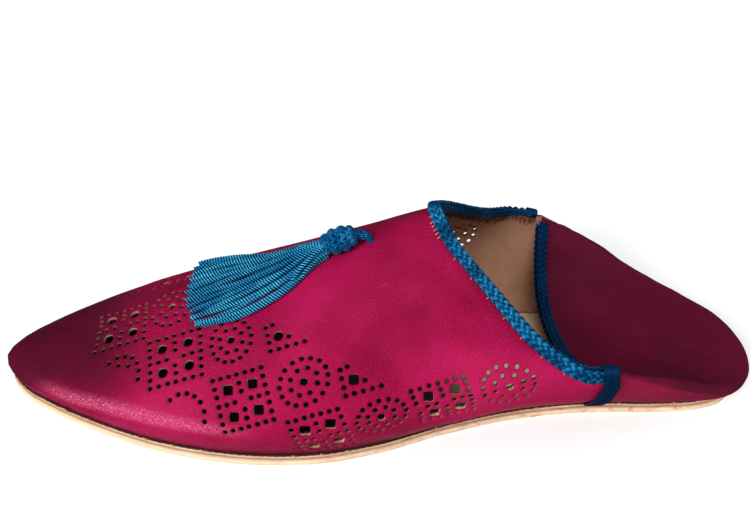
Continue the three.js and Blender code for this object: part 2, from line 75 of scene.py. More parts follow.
# The vamp: stand-out past the sole's edge, height of its widest line, height of its ridge, and how
# full its shoulder is.
VAMP = rows(
    "x stand widest ridge full",
    (-134, 2.2, 5.5, 10, 0.45),
    (-126, 2.4, 6, 12.4, 0.43),
    (-118, 2.6, 7, 15, 0.42),
    (-102, 3, 8, 22, 0.4),
    (-81, 3.4, 9, 30, 0.37),
    (-54, 3.8, 11, 39.5, 0.34),
    (-30, 4.6, 13, 48.5, 0.31),
    (-8, 8, 17, 57, 0.28),
    (12, 13.5, 22, 65.5, 0.22),
    (20, 16, 24.5, 67.5, 0.2),
    (33, 18.5, 28, 67, 0.2),
    (43, 20.5, 31, 67, 0.2),
    (57, 24, 34, 67, 0.2),
    (69, 23, 33, 67, 0.2),
)
# Height of the mouth's edge.
COLLAR = rows(
    "x height",
    (14.4, 66.5), (15.2, 64.4), (17.2, 61.2), (21.4, 57), (26.6, 52.1), (32.6, 46.5), (38.4, 41.7),
    (44, 38.6), (50, 36.3), (57, 34.6), (69, 33),
)
# The fold along the heel.
CREASE = rows(
    "x stand height",
    (69, 23, 33), (80, 21, 29.4), (91, 16.8, 24.4), (106, 10.2, 15.6), (118, 6.8, 9.6),
    (128, 5.4, 6.6), (135, 6, 6),
)
# The flap's middle line, from its free edge (0) to the heel (1).
SPINE = rows(
    "at x height",
    (0, 62.8, 9.8), (0.3, 78, 9.4), (0.7, 103, 8.6), (1, 122, 7.6),
)
# The tassel's cords: how far down the side their middle lies, half their spread, and thickness.
SKIRT = rows(
    "x side half thick",
    (-70, 5.5, 13, 3.6), (-58, 4.6, 12, 4.6), (-46, 3.8, 9.8, 5.6), (-35, 3, 7, 6.2),
    (-25.6, 2.6, 4.4, 6.4),
)
HEAD = dict(x=-18.6, side=2.2, length=12.6, width=9.4, height=8.4)
TAPE = dict(width=7, lean=7)
HEEL_STAIN = (102.5, -35.2, 10.2)

# Soft creases in the leather: where each starts and ends (x, and distance down the side from the
# ridge; the far side is negative), how deep it is and how wide.
VAMP_CREASES = rows(
    "x side to_x to_side deep wide",
    (-2, 30, 14, 44, 0.35, 5),
    (-20, 34, -4, 52, 0.3, 5),
    (8, 20, 20, 34, 0.3, 4),
    (30, 46, 48, 52, 0.4, 4),
    (-112, -6, -100, 14, 0.4, 5),
    (-96, -10, -92, 8, 0.25, 4),
    (10, -24, 26, -40, 0.35, 5),
    (-24, -36, -6, -50, 0.3, 5),
)


# ---------------------------------------------------------------- the last's own curves
def lengths_along(points):
    """How far along the line each point lies."""
    gone = [0.0]
    for a, b in zip(points, points[1:]):
        gone.append(gone[-1] + (b - a).length)
    return gone


def span_at(stations, value):
    """The span of a rising list that holds a value, and the share of the way through it."""
    i = min(max(bisect_right(stations, value) - 1, 0), len(stations) - 2)
    return i, (value - stations[i]) / ((stations[i + 1] - stations[i]) or 1.0)


def column(table, name, key="x"):
    """A smooth function of `key` through a table's column, without overshoot."""
    xs = [row[key] for row in table]
    ys = [row[name] for row in table]
    slopes = [(ys[i + 1] - ys[i]) / (xs[i + 1] - xs[i]) for i in range(len(xs) - 1)]
    tangents = [slopes[0]]
    for a, b in zip(slopes, slopes[1:]):
        tangents.append(2 * a * b / (a + b) if a * b > 0 else 0.0)
    tangents.append(slopes[-1])

    def value(x):
        i, t = span_at(xs, min(max(x, xs[0]), xs[-1]))
        h = xs[i + 1] - xs[i]
        return (
            (1 + 2 * t) * (1 - t) ** 2 * ys[i]
            + t * (1 - t) ** 2 * h * tangents[i]
            + t**2 * (3 - 2 * t) * ys[i + 1]
            + t**2 * (t - 1) * h * tangents[i + 1]
        )

    return value


stand = column(VAMP, "stand")
widest = column(VAMP, "widest")
ridge = column(VAMP, "ridge")
full = column(VAMP, "full")
collar_height = column(COLLAR, "height")
crease_stand = column(CREASE, "stand")
crease_height = column(CREASE, "height")
spine_x = column(SPINE, "x", "at")
spine_height = column(SPINE, "height", "at")


def lerp(a, b, t):
    return a + (b - a) * t


def smooth(x, low, high):
    t = min(max((x - low) / (high - low), 0.0), 1.0)
    return t * t * (3 - 2 * t)


def spring(x):
    """How far the toe lifts off the ground."""
    reach = max(0.0, (SPRING_FROM - x) / (SPRING_FROM + SOLE_LENGTH / 2))
    return TOE_SPRING * reach**2


def three_noises(at):
    """Three unrelated noises at a point, the same on every run."""
    return Vector([noise.noise(at + Vector((0, 0, 17.3 * k))) for k in range(3)])


def raised(x, y, height):
    return Vector((x, y, UPPER_BASE + height + spring(x)))


def mirrored(p):
    return Vector((p.x, -p.y, p.z))


def catmull(p0, p1, p2, p3, t):
    """A point between p1 and p2 of a centripetal curve through four points."""
    d0 = max((p1 - p0).length ** 0.5, 1e-6)
    d1 = max((p2 - p1).length ** 0.5, 1e-6)
    d2 = max((p3 - p2).length ** 0.5, 1e-6)
    m1 = ((p1 - p0) / d0 - (p2 - p0) / (d0 + d1) + (p2 - p1) / d1) * d1
    m2 = ((p2 - p1) / d1 - (p3 - p1) / (d1 + d2) + (p3 - p2) / d2) * d1
    a = 2 * p1 - 2 * p2 + m1 + m2
    b = -3 * p1 + 3 * p2 - 2 * m1 - m2
    return ((a * t + b) * t + m1) * t + p1


def sole_outline():
    """The sole's edge along -Y from toe tip to heel end: points, and their shares of its length."""
    tip = Vector((-SOLE_LENGTH / 2, 0, 0))
    end = Vector((SOLE_LENGTH / 2, 0, 0))
    near = [Vector((row["x"], -row["width"], 0)) for row in SOLE]
    knots = [mirrored(near[0]), tip, *near, end, mirrored(near[-1])]
    points = []
    for i in range(1, len(knots) - 2):
        points += [catmull(*knots[i - 1 : i + 3], k / EDGE_STEPS) for k in range(EDGE_STEPS)]
    points.append(end)
    gone = lengths_along(points)
    return points, [at / gone[-1] for at in gone]


EDGE, EDGE_SHARE = sole_outline()
EDGE_X = [p.x for p in EDGE]


def rim(t):
    """The sole's edge at share t, and the way out from it."""
    i, share = span_at(EDGE_SHARE, t)
    point = EDGE[i].lerp(EDGE[i + 1], share)
    if t <= 0:
        return point, Vector((-1, 0, 0))
    if t >= 1:
        return point, Vector((1, 0, 0))
    before, after = EDGE[max(i - 1, 0)], EDGE[min(i + 2, len(EDGE) - 1)]
    way = (after - before).normalized()
    return point, Vector((way.y, -way.x, 0))


def share_at(x):
    i, t = span_at(EDGE_X, x)
    return lerp(EDGE_SHARE[i], EDGE_SHARE[i + 1], min(max(t, 0.0), 1.0))


SEAM = share_at(SEAM_X)
PEAK = share_at(PEAK_X)
NOSE_SHARE = share_at(NOSE_END)


def ridge_x(t):
    """Where the rib that starts at share t reaches the ridge: drawn back at the nose."""
    if t >= NOSE_SHARE:
        return rim(t)[0].x
    start = -SOLE_LENGTH / 2 + NOSE
    slope = (rim(NOSE_SHARE + 0.001)[0].x - NOSE_END) / 0.001
    bend = (slope * NOSE_SHARE - (NOSE_END - start)) / NOSE_SHARE**2
    first = (NOSE_END - start) / NOSE_SHARE - bend * NOSE_SHARE
    return start + first * t + bend * t**2


def side_arc(foot, out, reach, height, steps=24):
    """The lower side, from its foot outwards and up to its widest line."""
    points = []
    for k in range(steps + 1):
        s = k / steps
        away = reach * math.sin(math.pi / 2 * s)
        points.append(raised(foot.x + out.x * away, foot.y + out.y * away, height * s))
    return points


def vamp_rib(t):
    """One rib of the vamp from its lower edge to the ridge."""
    point, out = rim(t)
    foot = point - out * UPPER_INSET
    top = ridge_x(t)
    points = side_arc(foot, out, stand(point.x), widest(point.x))
    side = points[-1]
    crown = raised(top, 0, ridge(top))
    reach = full(top)
    climb = (crown.z - raised(top - 2, 0, ridge(top - 2)).z) / 2
    shoulder = side + Vector((0, 0, reach * (crown.z - side.z)))
    brow = crown.lerp(side, reach)
    brow.z = crown.z + climb * (brow.x - crown.x)
    for k in range(1, 61):
        u = k / 60
        v = 1 - u
        points.append(side * v**3 + shoulder * 3 * u * v * v + brow * 3 * u * u * v + crown * u**3)
    return points


def evenly(points, steps):
    """The same line in equal steps, and its length."""
    gone = lengths_along(points)
    even = []
    for k in range(steps + 1):
        i, share = span_at(gone, gone[-1] * k / steps)
        even.append(points[i].lerp(points[i + 1], min(max(share, 0.0), 1.0)))
    return even, gone[-1]


def above_collar(p):
    return p.z - UPPER_BASE - collar_height(p.x)


def measured_rib(t):
    """A rib from the ridge down in equal steps, its length, and how much the mouth cuts off."""
    line, length = evenly(vamp_rib(t)[::-1], RIB_STEPS)
    cut = 0
    over = [i for i, p in enumerate(line) if above_collar(p) >= 0] if t > PEAK else []
    if over:
        cut = over[-1] + 1
        if cut <= RIB_STEPS:
            a, b = above_collar(line[cut - 1]), above_collar(line[cut])
            cut = cut - 1 + a / (a - b)
    return dict(x=ridge_x(t), line=line, length=length, open=length * cut / RIB_STEPS)


RIB_COUNT, RIB_STEPS = 300, 200
RIBS = [measured_rib(SEAM * (k / RIB_COUNT) ** 1.15) for k in range(RIB_COUNT + 1)]
RIB_X = [rib["x"] for rib in RIBS]


def between_ribs(x, name):
    i, s = span_at(RIB_X, min(max(x, RIB_X[0]), RIB_X[-1]))
    return lerp(RIBS[i][name], RIBS[i + 1][name], s)


def bare_skin(x, side):
    """The vamp's outer face at this x, this far down the side from the ridge (+ is the -Y side)."""
    i, s = span_at(RIB_X, min(max(x, RIB_X[0]), RIB_X[-1]))
    share = min(abs(side) / lerp(RIBS[i]["length"], RIBS[i + 1]["length"], s), 1.0) * RIB_STEPS
    j = min(int(share), RIB_STEPS - 1)
    f = share - j
    here, there = RIBS[i]["line"], RIBS[i + 1]["line"]
    p = here[j].lerp(here[j + 1], f).lerp(there[j].lerp(there[j + 1], f), s)
    return mirrored(p) if side < 0 else p


def way_out(forward, across, hint):
    n = forward.cross(across).normalized()
    return -n if n.dot(hint) < 0 else n


def widths_from(crease, p):
    """How many of its own widths a point lies from a crease."""
    x, y, to_x, to_y, _, wide = crease.values()
    a, b = Vector((x, y)), Vector((to_x, to_y))
    t = min(max((p - a).dot(b - a) / (b - a).length_squared, 0.0), 1.0)
    return (p - a.lerp(b, t)).length / wide


def crease_depth(x, side):
    """How far the soft creases and the hand's unevenness push the leather in."""
    depth = 0.0
    for crease in VAMP_CREASES:
        off = widths_from(crease, Vector((x, side)))
        if off < 2.5:
            swell = 0.35 * crease["deep"] * math.exp(-((off - 1.3) ** 2) * 3)
            depth += crease["deep"] * math.exp(-off * off * 2) - swell
    depth += 0.28 * noise.noise(Vector((x * 0.035, side * 0.035, 3.1)))
    depth += 0.1 * noise.noise(Vector((x * 0.11, side * 0.11, 7.7)))
    return depth


def skin(x, side, lift=0.0):
    """The vamp's leather with its creases, raised by `lift`, and its outward normal."""
    p = bare_skin(x, side)
    e = 0.6
    forward = bare_skin(x + e, side) - bare_skin(x - e, side)
    across = bare_skin(x, side + e) - bare_skin(x, side - e)
    if abs(side) + e > between_ribs(x, "length"):
        sign = 1 if side > 0 else -1
        across = bare_skin(x, side) - bare_skin(x, side - sign * 2 * e)
        across *= sign
    lean = 1.95 * abs(side) / between_ribs(x, "length")
    nose = smooth(-x, 85, 122)
    sideways = math.copysign(math.sin(lean), -side)
    hint = Vector((-1.5 * nose, sideways, math.cos(lean) + nose * 0.5))
    n = way_out(forward, across, hint)
    edge = between_ribs(x, "length") - abs(side)
    free = smooth(edge, 0, 8) * smooth(collar_x(side) - x, 0, 6)
    return p + n * (lift - crease_depth(x, side) * free), n


# ---------------------------------------------------------------- meshes
def placed(p):
    return ((p[0] + SHIFT) / 1000, p[1] / 1000, p[2] / 1000)


class Heap:
    """Points and faces gathered into one piece."""

    def __init__(self):
        self.points, self.faces, self.kinds, self.shades, self.runs = [], [], [], [], []

    def add(self, points, faces, shade=0.5, runs=None, kinds=None):
        start = len(self.points)
        self.points += points
        self.faces += [tuple(start + i for i in face) for face in faces]
        self.kinds += kinds or [0] * len(faces)
        self.shades += shade if isinstance(shade, list) else [shade] * len(points)
        self.runs += runs or [(0.0, 0.0)] * sum(len(face) for face in faces)

    def piece(self, name, finishes, slot, replaced=()):
        mesh = bpy.data.meshes.new(name)
        mesh.from_pydata([placed(p) for p in self.points], [], self.faces)
        for finish in finishes:
            mesh.materials.append(finish)
        mesh.polygons.foreach_set("material_index", self.kinds)
        mesh.polygons.foreach_set("use_smooth", [True] * len(self.faces))
        shade = mesh.attributes.new("shade", "FLOAT", "POINT")
        shade.data.foreach_set("value", self.shades)
        run = mesh.uv_layers.new(name="run")
        run.data.foreach_set("uv", [value for pair in self.runs for value in pair])
        mesh.update()
        piece = bpy.data.objects.new(name, mesh)
        bpy.context.scene.collection.objects.link(piece)
        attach(piece, "root")
        if replaced:
            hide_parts(*replaced)
        return piece


def leather_wall(points, normals, faces, thickness):
    """A sheet given its thickness and closed edges: kind 0 outside, 1 inside, 2 on the edges."""
    count = len(points)
    if not isinstance(thickness, list):
        thickness = [thickness] * count
    inner = [p - n * thick for p, n, thick in zip(points, normals, thickness)]
    edges = {(a, b): None for face in faces for a, b in zip(face, face[1:] + face[:1])}
    walls = [(b, a, a + count, b + count) for a, b in edges if (b, a) not in edges]
    inside = [tuple(i + count for i in reversed(face)) for face in faces]
    kinds = [0] * len(faces) + [1] * len(inside) + [2] * len(walls)
    return points + inner, list(faces) + inside + walls, kinds


def tube(heap, path, radius, sides=8, ups=None, flat=1.0, twist=0.0, swell=0.0, shade=0.5):
    """A cord along a path, flattened along `ups`, or with two lobes turning `twist` times a mm."""
    rings, runs_at = [], lengths_along(path)
    side = None
    last = len(path) - 1
    for i, p in enumerate(path):
        way = (path[min(i + 1, last)] - path[max(i - 1, 0)]).normalized()
        if ups:
            side = ups[i].cross(way)
        elif side is None:
            side = Vector((0, 0, 1)).cross(way)
        else:
            side = side - way * side.dot(way)
        side.normalize()
        up = way.cross(side)
        size = radius(i / last) if callable(radius) else radius
        for k in range(sides):
            angle = 2 * math.pi * k / sides
            bulge = 1 + swell * math.cos(2 * (angle - 2 * math.pi * runs_at[i] * twist))
            rim_way = side * math.cos(angle) + up * (math.sin(angle) * flat)
            rings.append(p + rim_way * size * bulge)
    faces, runs = [], []
    for i in range(last):
        low, high = runs_at[i], runs_at[i + 1]
        for k in range(sides):
            a, b = i * sides + k, i * sides + (k + 1) % sides
            faces.append((a, b, b + sides, a + sides))
            u, v = k / sides, (k + 1) / sides
            runs += [(u, low), (v, low), (v, high), (u, high)]
    faces.append(tuple(reversed(range(sides))))
    faces.append(tuple(last * sides + k for k in range(sides)))
    runs += [(0.0, 0.0)] * (2 * sides)
    if isinstance(shade, list):
        shade = [value for value in shade for _ in range(sides)]
    heap.add(rings, faces, shade, runs)


# ---------------------------------------------------------------- finishes
class Tone:
    """A number that changes over the surface, for plain arithmetic."""

    def __init__(self, finish, socket):
        self.finish, self.socket = finish, socket

    def sum(self, operation, first, second):
        made = self.finish.node("ShaderNodeMath", {"operation": operation}, {0: first, 1: second})
        return Tone(self.finish, made.outputs[0])

    def __add__(self, other):
        return self.sum("ADD", self, other)

    __radd__ = __add__

    def __sub__(self, other):
        return self.sum("SUBTRACT", self, other)

    def __rsub__(self, other):
        return self.sum("SUBTRACT", other, self)

    def __mul__(self, other):
        return self.sum("MULTIPLY", self, other)

    __rmul__ = __mul__

    def above(self, low, high):
        """0 below low, 1 above high, smooth between."""
        settings = {"interpolation_type": "SMOOTHSTEP"}
        inputs = {"Value": self, "From Min": low, "From Max": high}
        made = self.finish.node("ShaderNodeMapRange", settings, inputs)
        return Tone(self.finish, made.outputs[0])


class Finish:
    """One material, built node by node."""

    def __init__(self, name, **constants):
        self.material = bpy.data.materials.new(name)
        self.material.use_nodes = True
        self.tree = self.material.node_tree
        self.shader = self.tree.nodes["Principled BSDF"]
        for socket, value in constants.items():
            self.shader.inputs[socket.replace("_", " ")].default_value = value
        self.spot = self.node("ShaderNodeTexCoord").outputs["Object"]

    def node(self, kind, settings=None, inputs=None):
        made = self.tree.nodes.new(kind)
        for name, value in (settings or {}).items():
            setattr(made, name, value)
        for name, value in (inputs or {}).items():
            self.put(made.inputs[name], value)
        return made

    def put(self, socket, value):
        if isinstance(value, Tone):
            value = value.socket
        if isinstance(value, bpy.types.NodeSocket):
            self.tree.links.new(value, socket)
        elif isinstance(value, tuple) and len(value) == 3 and socket.type == "RGBA":
            socket.default_value = (*value, 1)
        else:
            socket.default_value = value

    def mapped(self, stretch, seed=0.0):
        if not (stretch or seed):
            return self.spot
        inputs = {"Vector": self.spot, "Scale": stretch or (1, 1, 1), "Location": (seed,) * 3}
        return self.node("ShaderNodeMapping", {}, inputs).outputs[0]

    def clouds(self, scale, detail=3.0, rough=0.55, stretch=None, seed=0.0):
        spot = self.mapped(stretch, seed)
        inputs = {"Vector": spot, "Scale": scale, "Detail": detail, "Roughness": rough}
        return Tone(self, self.node("ShaderNodeTexNoise", {}, inputs).outputs[0])

    def wave(self, turns):
        """0 to 1 and back once a turn."""
        made = self.node("ShaderNodeMath", {"operation": "SINE"}, {0: turns * (2 * math.pi)})
        return Tone(self, made.outputs[0]) * 0.5 + 0.5

    def cells(self, scale, low, high, stretch=None):
        """Cells with edges: 0 at the edges, 1 inside."""
        settings = {"feature": "DISTANCE_TO_EDGE"}
        inputs = {"Vector": self.mapped(stretch), "Scale": scale}
        made = self.node("ShaderNodeTexVoronoi", settings, inputs)
        return Tone(self, made.outputs[0]).above(low, high)

    def along(self, axis):
        return Tone(self, self.node("ShaderNodeSeparateXYZ", {}, {0: self.spot}).outputs[axis])

    def marked(self, name):
        return Tone(self, self.node("ShaderNodeAttribute", {"attribute_name": name}).outputs["Fac"])

    def blend(self, share, first, second):
        made = self.node("ShaderNodeMix", {"data_type": "RGBA"})
        self.put(made.inputs[0], share)
        self.put(made.inputs[6], first)
        self.put(made.inputs[7], second)
        return made.outputs[2]

    def bumped(self, *layers):
        """Bumps on each other: (height, strength, distance in metres)."""
        normal = None
        for height, strength, distance in layers:
            inputs = {"Height": height, "Strength": strength, "Distance": distance}
            if normal:
                inputs["Normal"] = normal
            normal = self.node("ShaderNodeBump", {}, inputs).outputs[0]
        self.put(self.shader.inputs["Normal"], normal)

    def paint(self, colour):
        self.tint = colour
        self.put(self.shader.inputs["Base Color"], colour)

    def lay(self, share, colour):
        """Another colour over the one so far."""
        self.paint(self.blend(share, self.tint, colour))

    def rough(self, value):
        self.put(self.shader.inputs["Roughness"], value)


def thread(name, deep, middle, bright, shine=0.4, twist=0.0, plies=9.0):
    """Satin cord: painted shade where its two twisted lobes meet and painted highlights on their
    crests, with fine threads that run round it.
    """
    silk = plies > 6
    tint = (0.12, 0.55, 1, 1) if silk else (1, 0.9, 0.7, 1)
    metallic = 0.22 if silk else 0.0
    made = Finish(name, Specular_IOR_Level=0.35, Metallic=metallic, Specular_Tint=tint)
    run = made.node("ShaderNodeUVMap", {"uv_map": "run"}).outputs[0]
    way = made.node("ShaderNodeSeparateXYZ", {}, {0: run})
    around, along = Tone(made, way.outputs[0]), Tone(made, way.outputs[1])
    fine = made.wave(around * plies + along * 0.9)
    worn = made.clouds(420, 2)
    hill = made.wave(around * 2 - along * (2 * twist) + 0.25) if twist else fine
    lit = hill * 0.72 + fine * 0.13 + worn * 0.25 - 0.05
    even = 0.45 if twist else 0.2
    gleam = made.clouds(95, 2, seed=5.0).above(0.4, 0.62) * (1 - even) + even
    # painted shade and highlight: `lit` lays the deep colour in the grooves and `bright` on the
    # crests; the `shade` attribute darkens a cord and dims its highlight, as painted shade where
    # plaited strands pass under and as a cord's own tone elsewhere
    over = made.marked("shade")
    low = lit.above(0.2, 0.68) * (over.above(-0.5, 0.45) * 0.85 + 0.15)
    made.paint(made.blend(low, deep, middle))
    made.lay(lit.above(0.5, 0.84) * (over * 0.85 + 0.15) * gleam, bright)
    made.rough(worn * 0.2 + shine - 0.08)
    made.bumped((fine, 0.4, 0.00008), (hill, 0.8 if twist else 0.1, 0.0004), (worn, 0.2, 0.0001))
    return made.material


def leather_grain(made, dye):
    """Pebbled goatskin grain with pores and fine hair lines."""
    pebbles = made.cells(820, 0, 0.32, (1, 1.2, 1))
    small = made.cells(1700, 0, 0.3)
    fine = made.clouds(2600, 3)
    strength = 0.35 + made.clouds(45, 3, seed=2.0).above(0.35, 0.65) * 0.65
    height = (pebbles * 0.65 + small * 0.35) * strength
    soft = made.clouds(150, 3)
    made.bumped(
        (height, 0.75, 0.0004), (fine, 0.35, 0.00012), (dye, 0.3, 0.0012), (soft, 0.25, 0.0006)
    )
    return height


def upper_leather():
    """Goatskin dyed fuchsia, darker at the toe, with a painted highlight band low on its side."""
    shine = (1, 0.4, 0.6, 1)
    made = Finish("fuchsia_goatskin", Specular_IOR_Level=0.07, Metallic=0.025, Specular_Tint=shine)
    dye = made.clouds(26, 4)
    patches = made.clouds(9, 2, seed=0.4)
    x, z = made.along(0), made.along(2)
    made.paint(made.blend(dye.above(0.32, 0.68), (0.245, 0.003, 0.036), (0.39, 0.0055, 0.066)))
    # darker over the toe's top and in random patches
    over = z - x.above(-0.136, -0.116) * 0.0095
    toe = (1 - x.above(-0.118, -0.078)) * over.above(0.004, 0.0135)
    darker_toe_and_patches = toe * 0.97 + patches.above(0.55, 0.75) * 0.3
    made.lay(darker_toe_and_patches.above(0, 1), (0.085, 0.004, 0.019))
    # painted shade: darker low on the side, towards the sole, where the leather turns under
    made.lay((1 - (z - dye * 0.006).above(0.002, 0.012)) * 0.75, (0.13, 0.004, 0.028))
    height = leather_grain(made, dye)
    made.lay((1 - height.above(0.05, 0.4)) * 0.28, (0.12, 0.002, 0.025))
    # painted sheen: soft lighter patches in random places, kept off the dark toe
    soft = made.clouds(17, 3, seed=3.0).above(0.48, 0.7) * (1 - darker_toe_and_patches.above(0, 0.5))
    made.lay(soft * 0.4, (0.5, 0.016, 0.1))
    scuff = made.clouds(70, 5, 0.7, (1, 3, 1))
    made.lay(scuff.above(0.66, 0.74) * 0.25, (0.55, 0.03, 0.14))
    # painted highlight: a lighter band with sparkles low on the side, where the lamp's sheen falls;
    # it is also made less rough
    level = z + (1 - x.above(-0.12, -0.09)) * 0.002
    painted_sheen_band = level.above(0.0138, 0.0168) * (1 - level.above(0.0172, 0.02))
    painted_sheen_band = painted_sheen_band * x.above(-0.13, -0.112) * (1 - x.above(-0.075, -0.05))
    sparkle = made.clouds(1300, 2, 0.6, (1, 1, 1.6)).above(0.5, 0.66)
    made.lay(painted_sheen_band * (sparkle * 0.45 + height.above(0.05, 0.5) * 0.2 + 0.1), (0.85, 0.19, 0.36))
    made.rough(0.29 + dye * 0.1 + scuff.above(0.6, 0.75) * 0.16 - painted_sheen_band * 0.14)
    return made.material


def quarter_leather():
    """Darker goatskin for the folded back, brighter on its wall, with one small stain."""
    made = Finish("dark_fuchsia_goatskin", Specular_IOR_Level=0.08)
    dye = made.clouds(22, 4)
    patches = made.clouds(12, 3, seed=1.3)
    z = made.along(2)
    made.paint(made.blend(dye.above(0.3, 0.7), (0.1, 0.0028, 0.02), (0.145, 0.0035, 0.029)))
    made.lay(patches.above(0.5, 0.72) * 0.45, (0.06, 0.004, 0.014))
    wall = made.marked("shade") * (1 - made.along(0).above(0.068, 0.12) * 0.55)
    made.lay(wall.above(0, 1) * 0.85, (0.27, 0.004, 0.045))
    # painted shade: darker low on the wall, towards the sole
    made.lay((1 - z.above(0.0055, 0.014)) * 0.5, (0.09, 0.004, 0.02))
    inputs = {0: made.spot, 1: placed(HEEL_STAIN)}
    away = made.node("ShaderNodeVectorMath", {"operation": "DISTANCE"}, inputs).outputs["Value"]
    made.lay((1 - Tone(made, away).above(0.0005, 0.0017)) * 0.8, (0.03, 0.006, 0.01))
    leather_grain(made, dye)
    made.rough(0.42 + dye * 0.14)
    return made.material


def lining_leather():
    """Napped lining, browner under the collar, with painted shade darkening it towards the toe."""
    made = Finish("suede_lining", Roughness=0.9, Specular_IOR_Level=0.15, Sheen_Weight=0.2)
    nap = made.clouds(300, 5, 0.7)
    soiled = made.clouds(35, 3)
    x, z = made.along(0), made.along(2)
    made.paint(made.blend(nap, (0.46, 0.21, 0.12), (0.66, 0.34, 0.205)))
    made.lay(soiled.above(0.45, 0.75) * 0.5, (0.2, 0.09, 0.05))
    made.lay(z.above(0.024, 0.046) * 0.75, (0.15, 0.05, 0.03))
    # painted shade: dark towards the toe, deep inside the shoe and behind the holes
    made.lay(1 - x.above(-0.01, 0.025), (0.035, 0.014, 0.008))
    made.bumped((nap, 0.6, 0.0004), (made.clouds(1500, 3), 0.5, 0.0002))
    return made.material


def cut_edge(name, pale, brown):
    """The fibres of cut leather, painted pale as if lit where `shade` is 1."""
    made = Finish(name, Roughness=0.85, Specular_IOR_Level=0.2)
    fibres = made.clouds(900, 4, 0.7, (0.35, 0.35, 2.2))
    soiled = made.clouds(60, 3)
    # painted light: `shade` makes the cut paler as if lit, on top of the fibres' own pattern
    pale_fibres_and_painted_light = fibres.above(0.3, 0.75) * (made.marked("shade") * 0.75 + 0.25)
    made.paint(made.blend(pale_fibres_and_painted_light, brown, pale))
    made.lay(soiled.above(0.55, 0.8) * 0.35, brown)
    made.bumped((fibres, 0.7, 0.0003))
    return made.material


def sole_leather(name, pale, brown, dark):
    """Vegetable-tanned leather: layered at its cut edge, worn below."""
    made = Finish(name, Roughness=0.72, Specular_IOR_Level=0.25)
    layers = made.clouds(260, 4, 0.65, (0.25, 0.25, 5))
    soiled = made.clouds(38, 4)
    scratches = made.clouds(500, 3, 0.6, (0.08, 1, 1))
    made.paint(made.blend(layers.above(0.28, 0.78), brown, pale))
    made.lay(soiled.above(0.5, 0.75) * 0.4, brown)
    flecks = made.clouds(240, 3, 0.6, (1, 1, 2), 3.0).above(0.5, 0.66)
    made.lay(flecks * made.along(0).above(-0.08, 0.04) * 0.6, (0.5, 0.17, 0.12))
    made.lay(made.marked("shade") * (0.2 + layers * 0.6), (0.3, 0.12, 0.07))
    under = 1 - made.along(2).above(0.0003, 0.0012)
    made.lay(under * scratches.above(0.55, 0.7) * 0.5, dark)
    made.rough(0.62 + layers * 0.25)
    made.bumped((layers, 0.8, 0.0006), (made.clouds(1800, 3), 0.4, 0.00015))
    return made.material


def sock_leather():
    """The insole's pale sock, with painted shade darkening it towards the toe."""
    made = Finish("pale_sock", Roughness=0.8, Specular_IOR_Level=0.2)
    grain = made.clouds(700, 4, 0.6)
    worn = made.clouds(30, 4)
    x = made.along(0)
    made.paint(made.blend(grain, (0.98, 0.64, 0.38), (1.0, 0.74, 0.48)))
    made.lay(worn.above(0.5, 0.75) * 0.4, (0.5, 0.31, 0.18))
    # painted shade: dark towards the toe, deep inside the shoe
    made.lay((1 - x.above(0.01, 0.042)) * 0.97, (0.03, 0.014, 0.008))
    made.bumped((grain, 0.5, 0.0003), (made.cells(900, 0, 0.25), 0.3, 0.0001))
    return made.material


# ---------------------------------------------------------------- the vamp's cut line at the collar
def over_collar(x, side):
    return bare_skin(x, side).z - UPPER_BASE - collar_height(x)


def collar_cut(side):
    """Where the mouth cuts the line this far down the side from the ridge."""
    low, high = PEAK_X - 0.6, SEAM_X
    if over_collar(high, side) < 0:
        return high
    for _ in range(22):
        middle = (low + high) / 2
        if over_collar(middle, side) < 0:
            low = middle
        else:
            high = middle
    return high


CUT_STEP = 0.25
CUTS = [collar_cut(k * CUT_STEP) for k in range(261)]


def collar_x(side):
    s = min(abs(side) / CUT_STEP, len(CUTS) - 1.001)
    return lerp(CUTS[int(s)], CUTS[int(s) + 1], s - int(s))


def spaced(line, step):
    """A line of (x, side) made into points `step` mm apart on the skin."""
    gone = lengths_along([bare_skin(*at) for at in line])
    count = max(2, round(gone[-1] / step))
    found = []
    for k in range(count + 1):
        i, f = span_at(gone, gone[-1] * k / count)
        found.append((lerp(line[i][0], line[i + 1][0], f), lerp(line[i][1], line[i + 1][1], f)))
    return found


CUT_LINE = [(cut, k * CUT_STEP) for k, cut in enumerate(CUTS) if cut < SEAM_X - 0.01]
CUT_LINE.append((SEAM_X, between_ribs(SEAM_X, "open")))

# ---------------------------------------------------------------- the punched pattern
# Each figure's middle (x, and distance down the side), its pitch along x and down the side, and how
# much it leans towards the heel per millimetre down. Figures with `both` false lie on the ridge.
FIGURES = rows(
    "kind x side wide tall lean hole both",
    ("square", -95, 5, 2.6, 2.8, 0, "round", False),
    ("circle", -78, 2.5, 0.9, 1.1, 0, "round", False),
    ("square", -76, 25, 2.8, 2.9, 0.05, "round", True),
    ("circle", -57.5, 24.5, 0.85, 1, 0.05, "round", True),
    ("corner", -42, 28, 2.7, 3, 0.15, "round", True),
    ("square", -54, 46.5, 2.6, 3.1, 0.2, "square", True),
    ("circle", -34.5, 46, 1, 1, 0.05, "round", True),
    ("corner", -19, 50, 2.7, 3, 0.15, "square", True),
    ("square", -29, 67, 2.6, 3, 0.35, "square", True),
    ("circle", -11, 65, 0.95, 0.75, 0.1, "round", True),
    ("square", 8, 66, 2.7, 2.3, 0.3, "square", True),
    ("circle", 29, 64.5, 1.15, 0.95, 0.1, "round", True),
    ("hook", -97.5, 20, 1, 1, 0, "none", True),
    ("bow", -77.5, 39.5, 1, 1, 0, "none", True),
)
DOT, EYE, ROUND_HOLE, SQUARE_HOLE = 0.87, 1.35, 1.8, 1.72  # radii of the punches
LARGE_HOLE = 1.2  # from this radius up a hole has a smooth rim, and its cut leather is painted pale as if lit
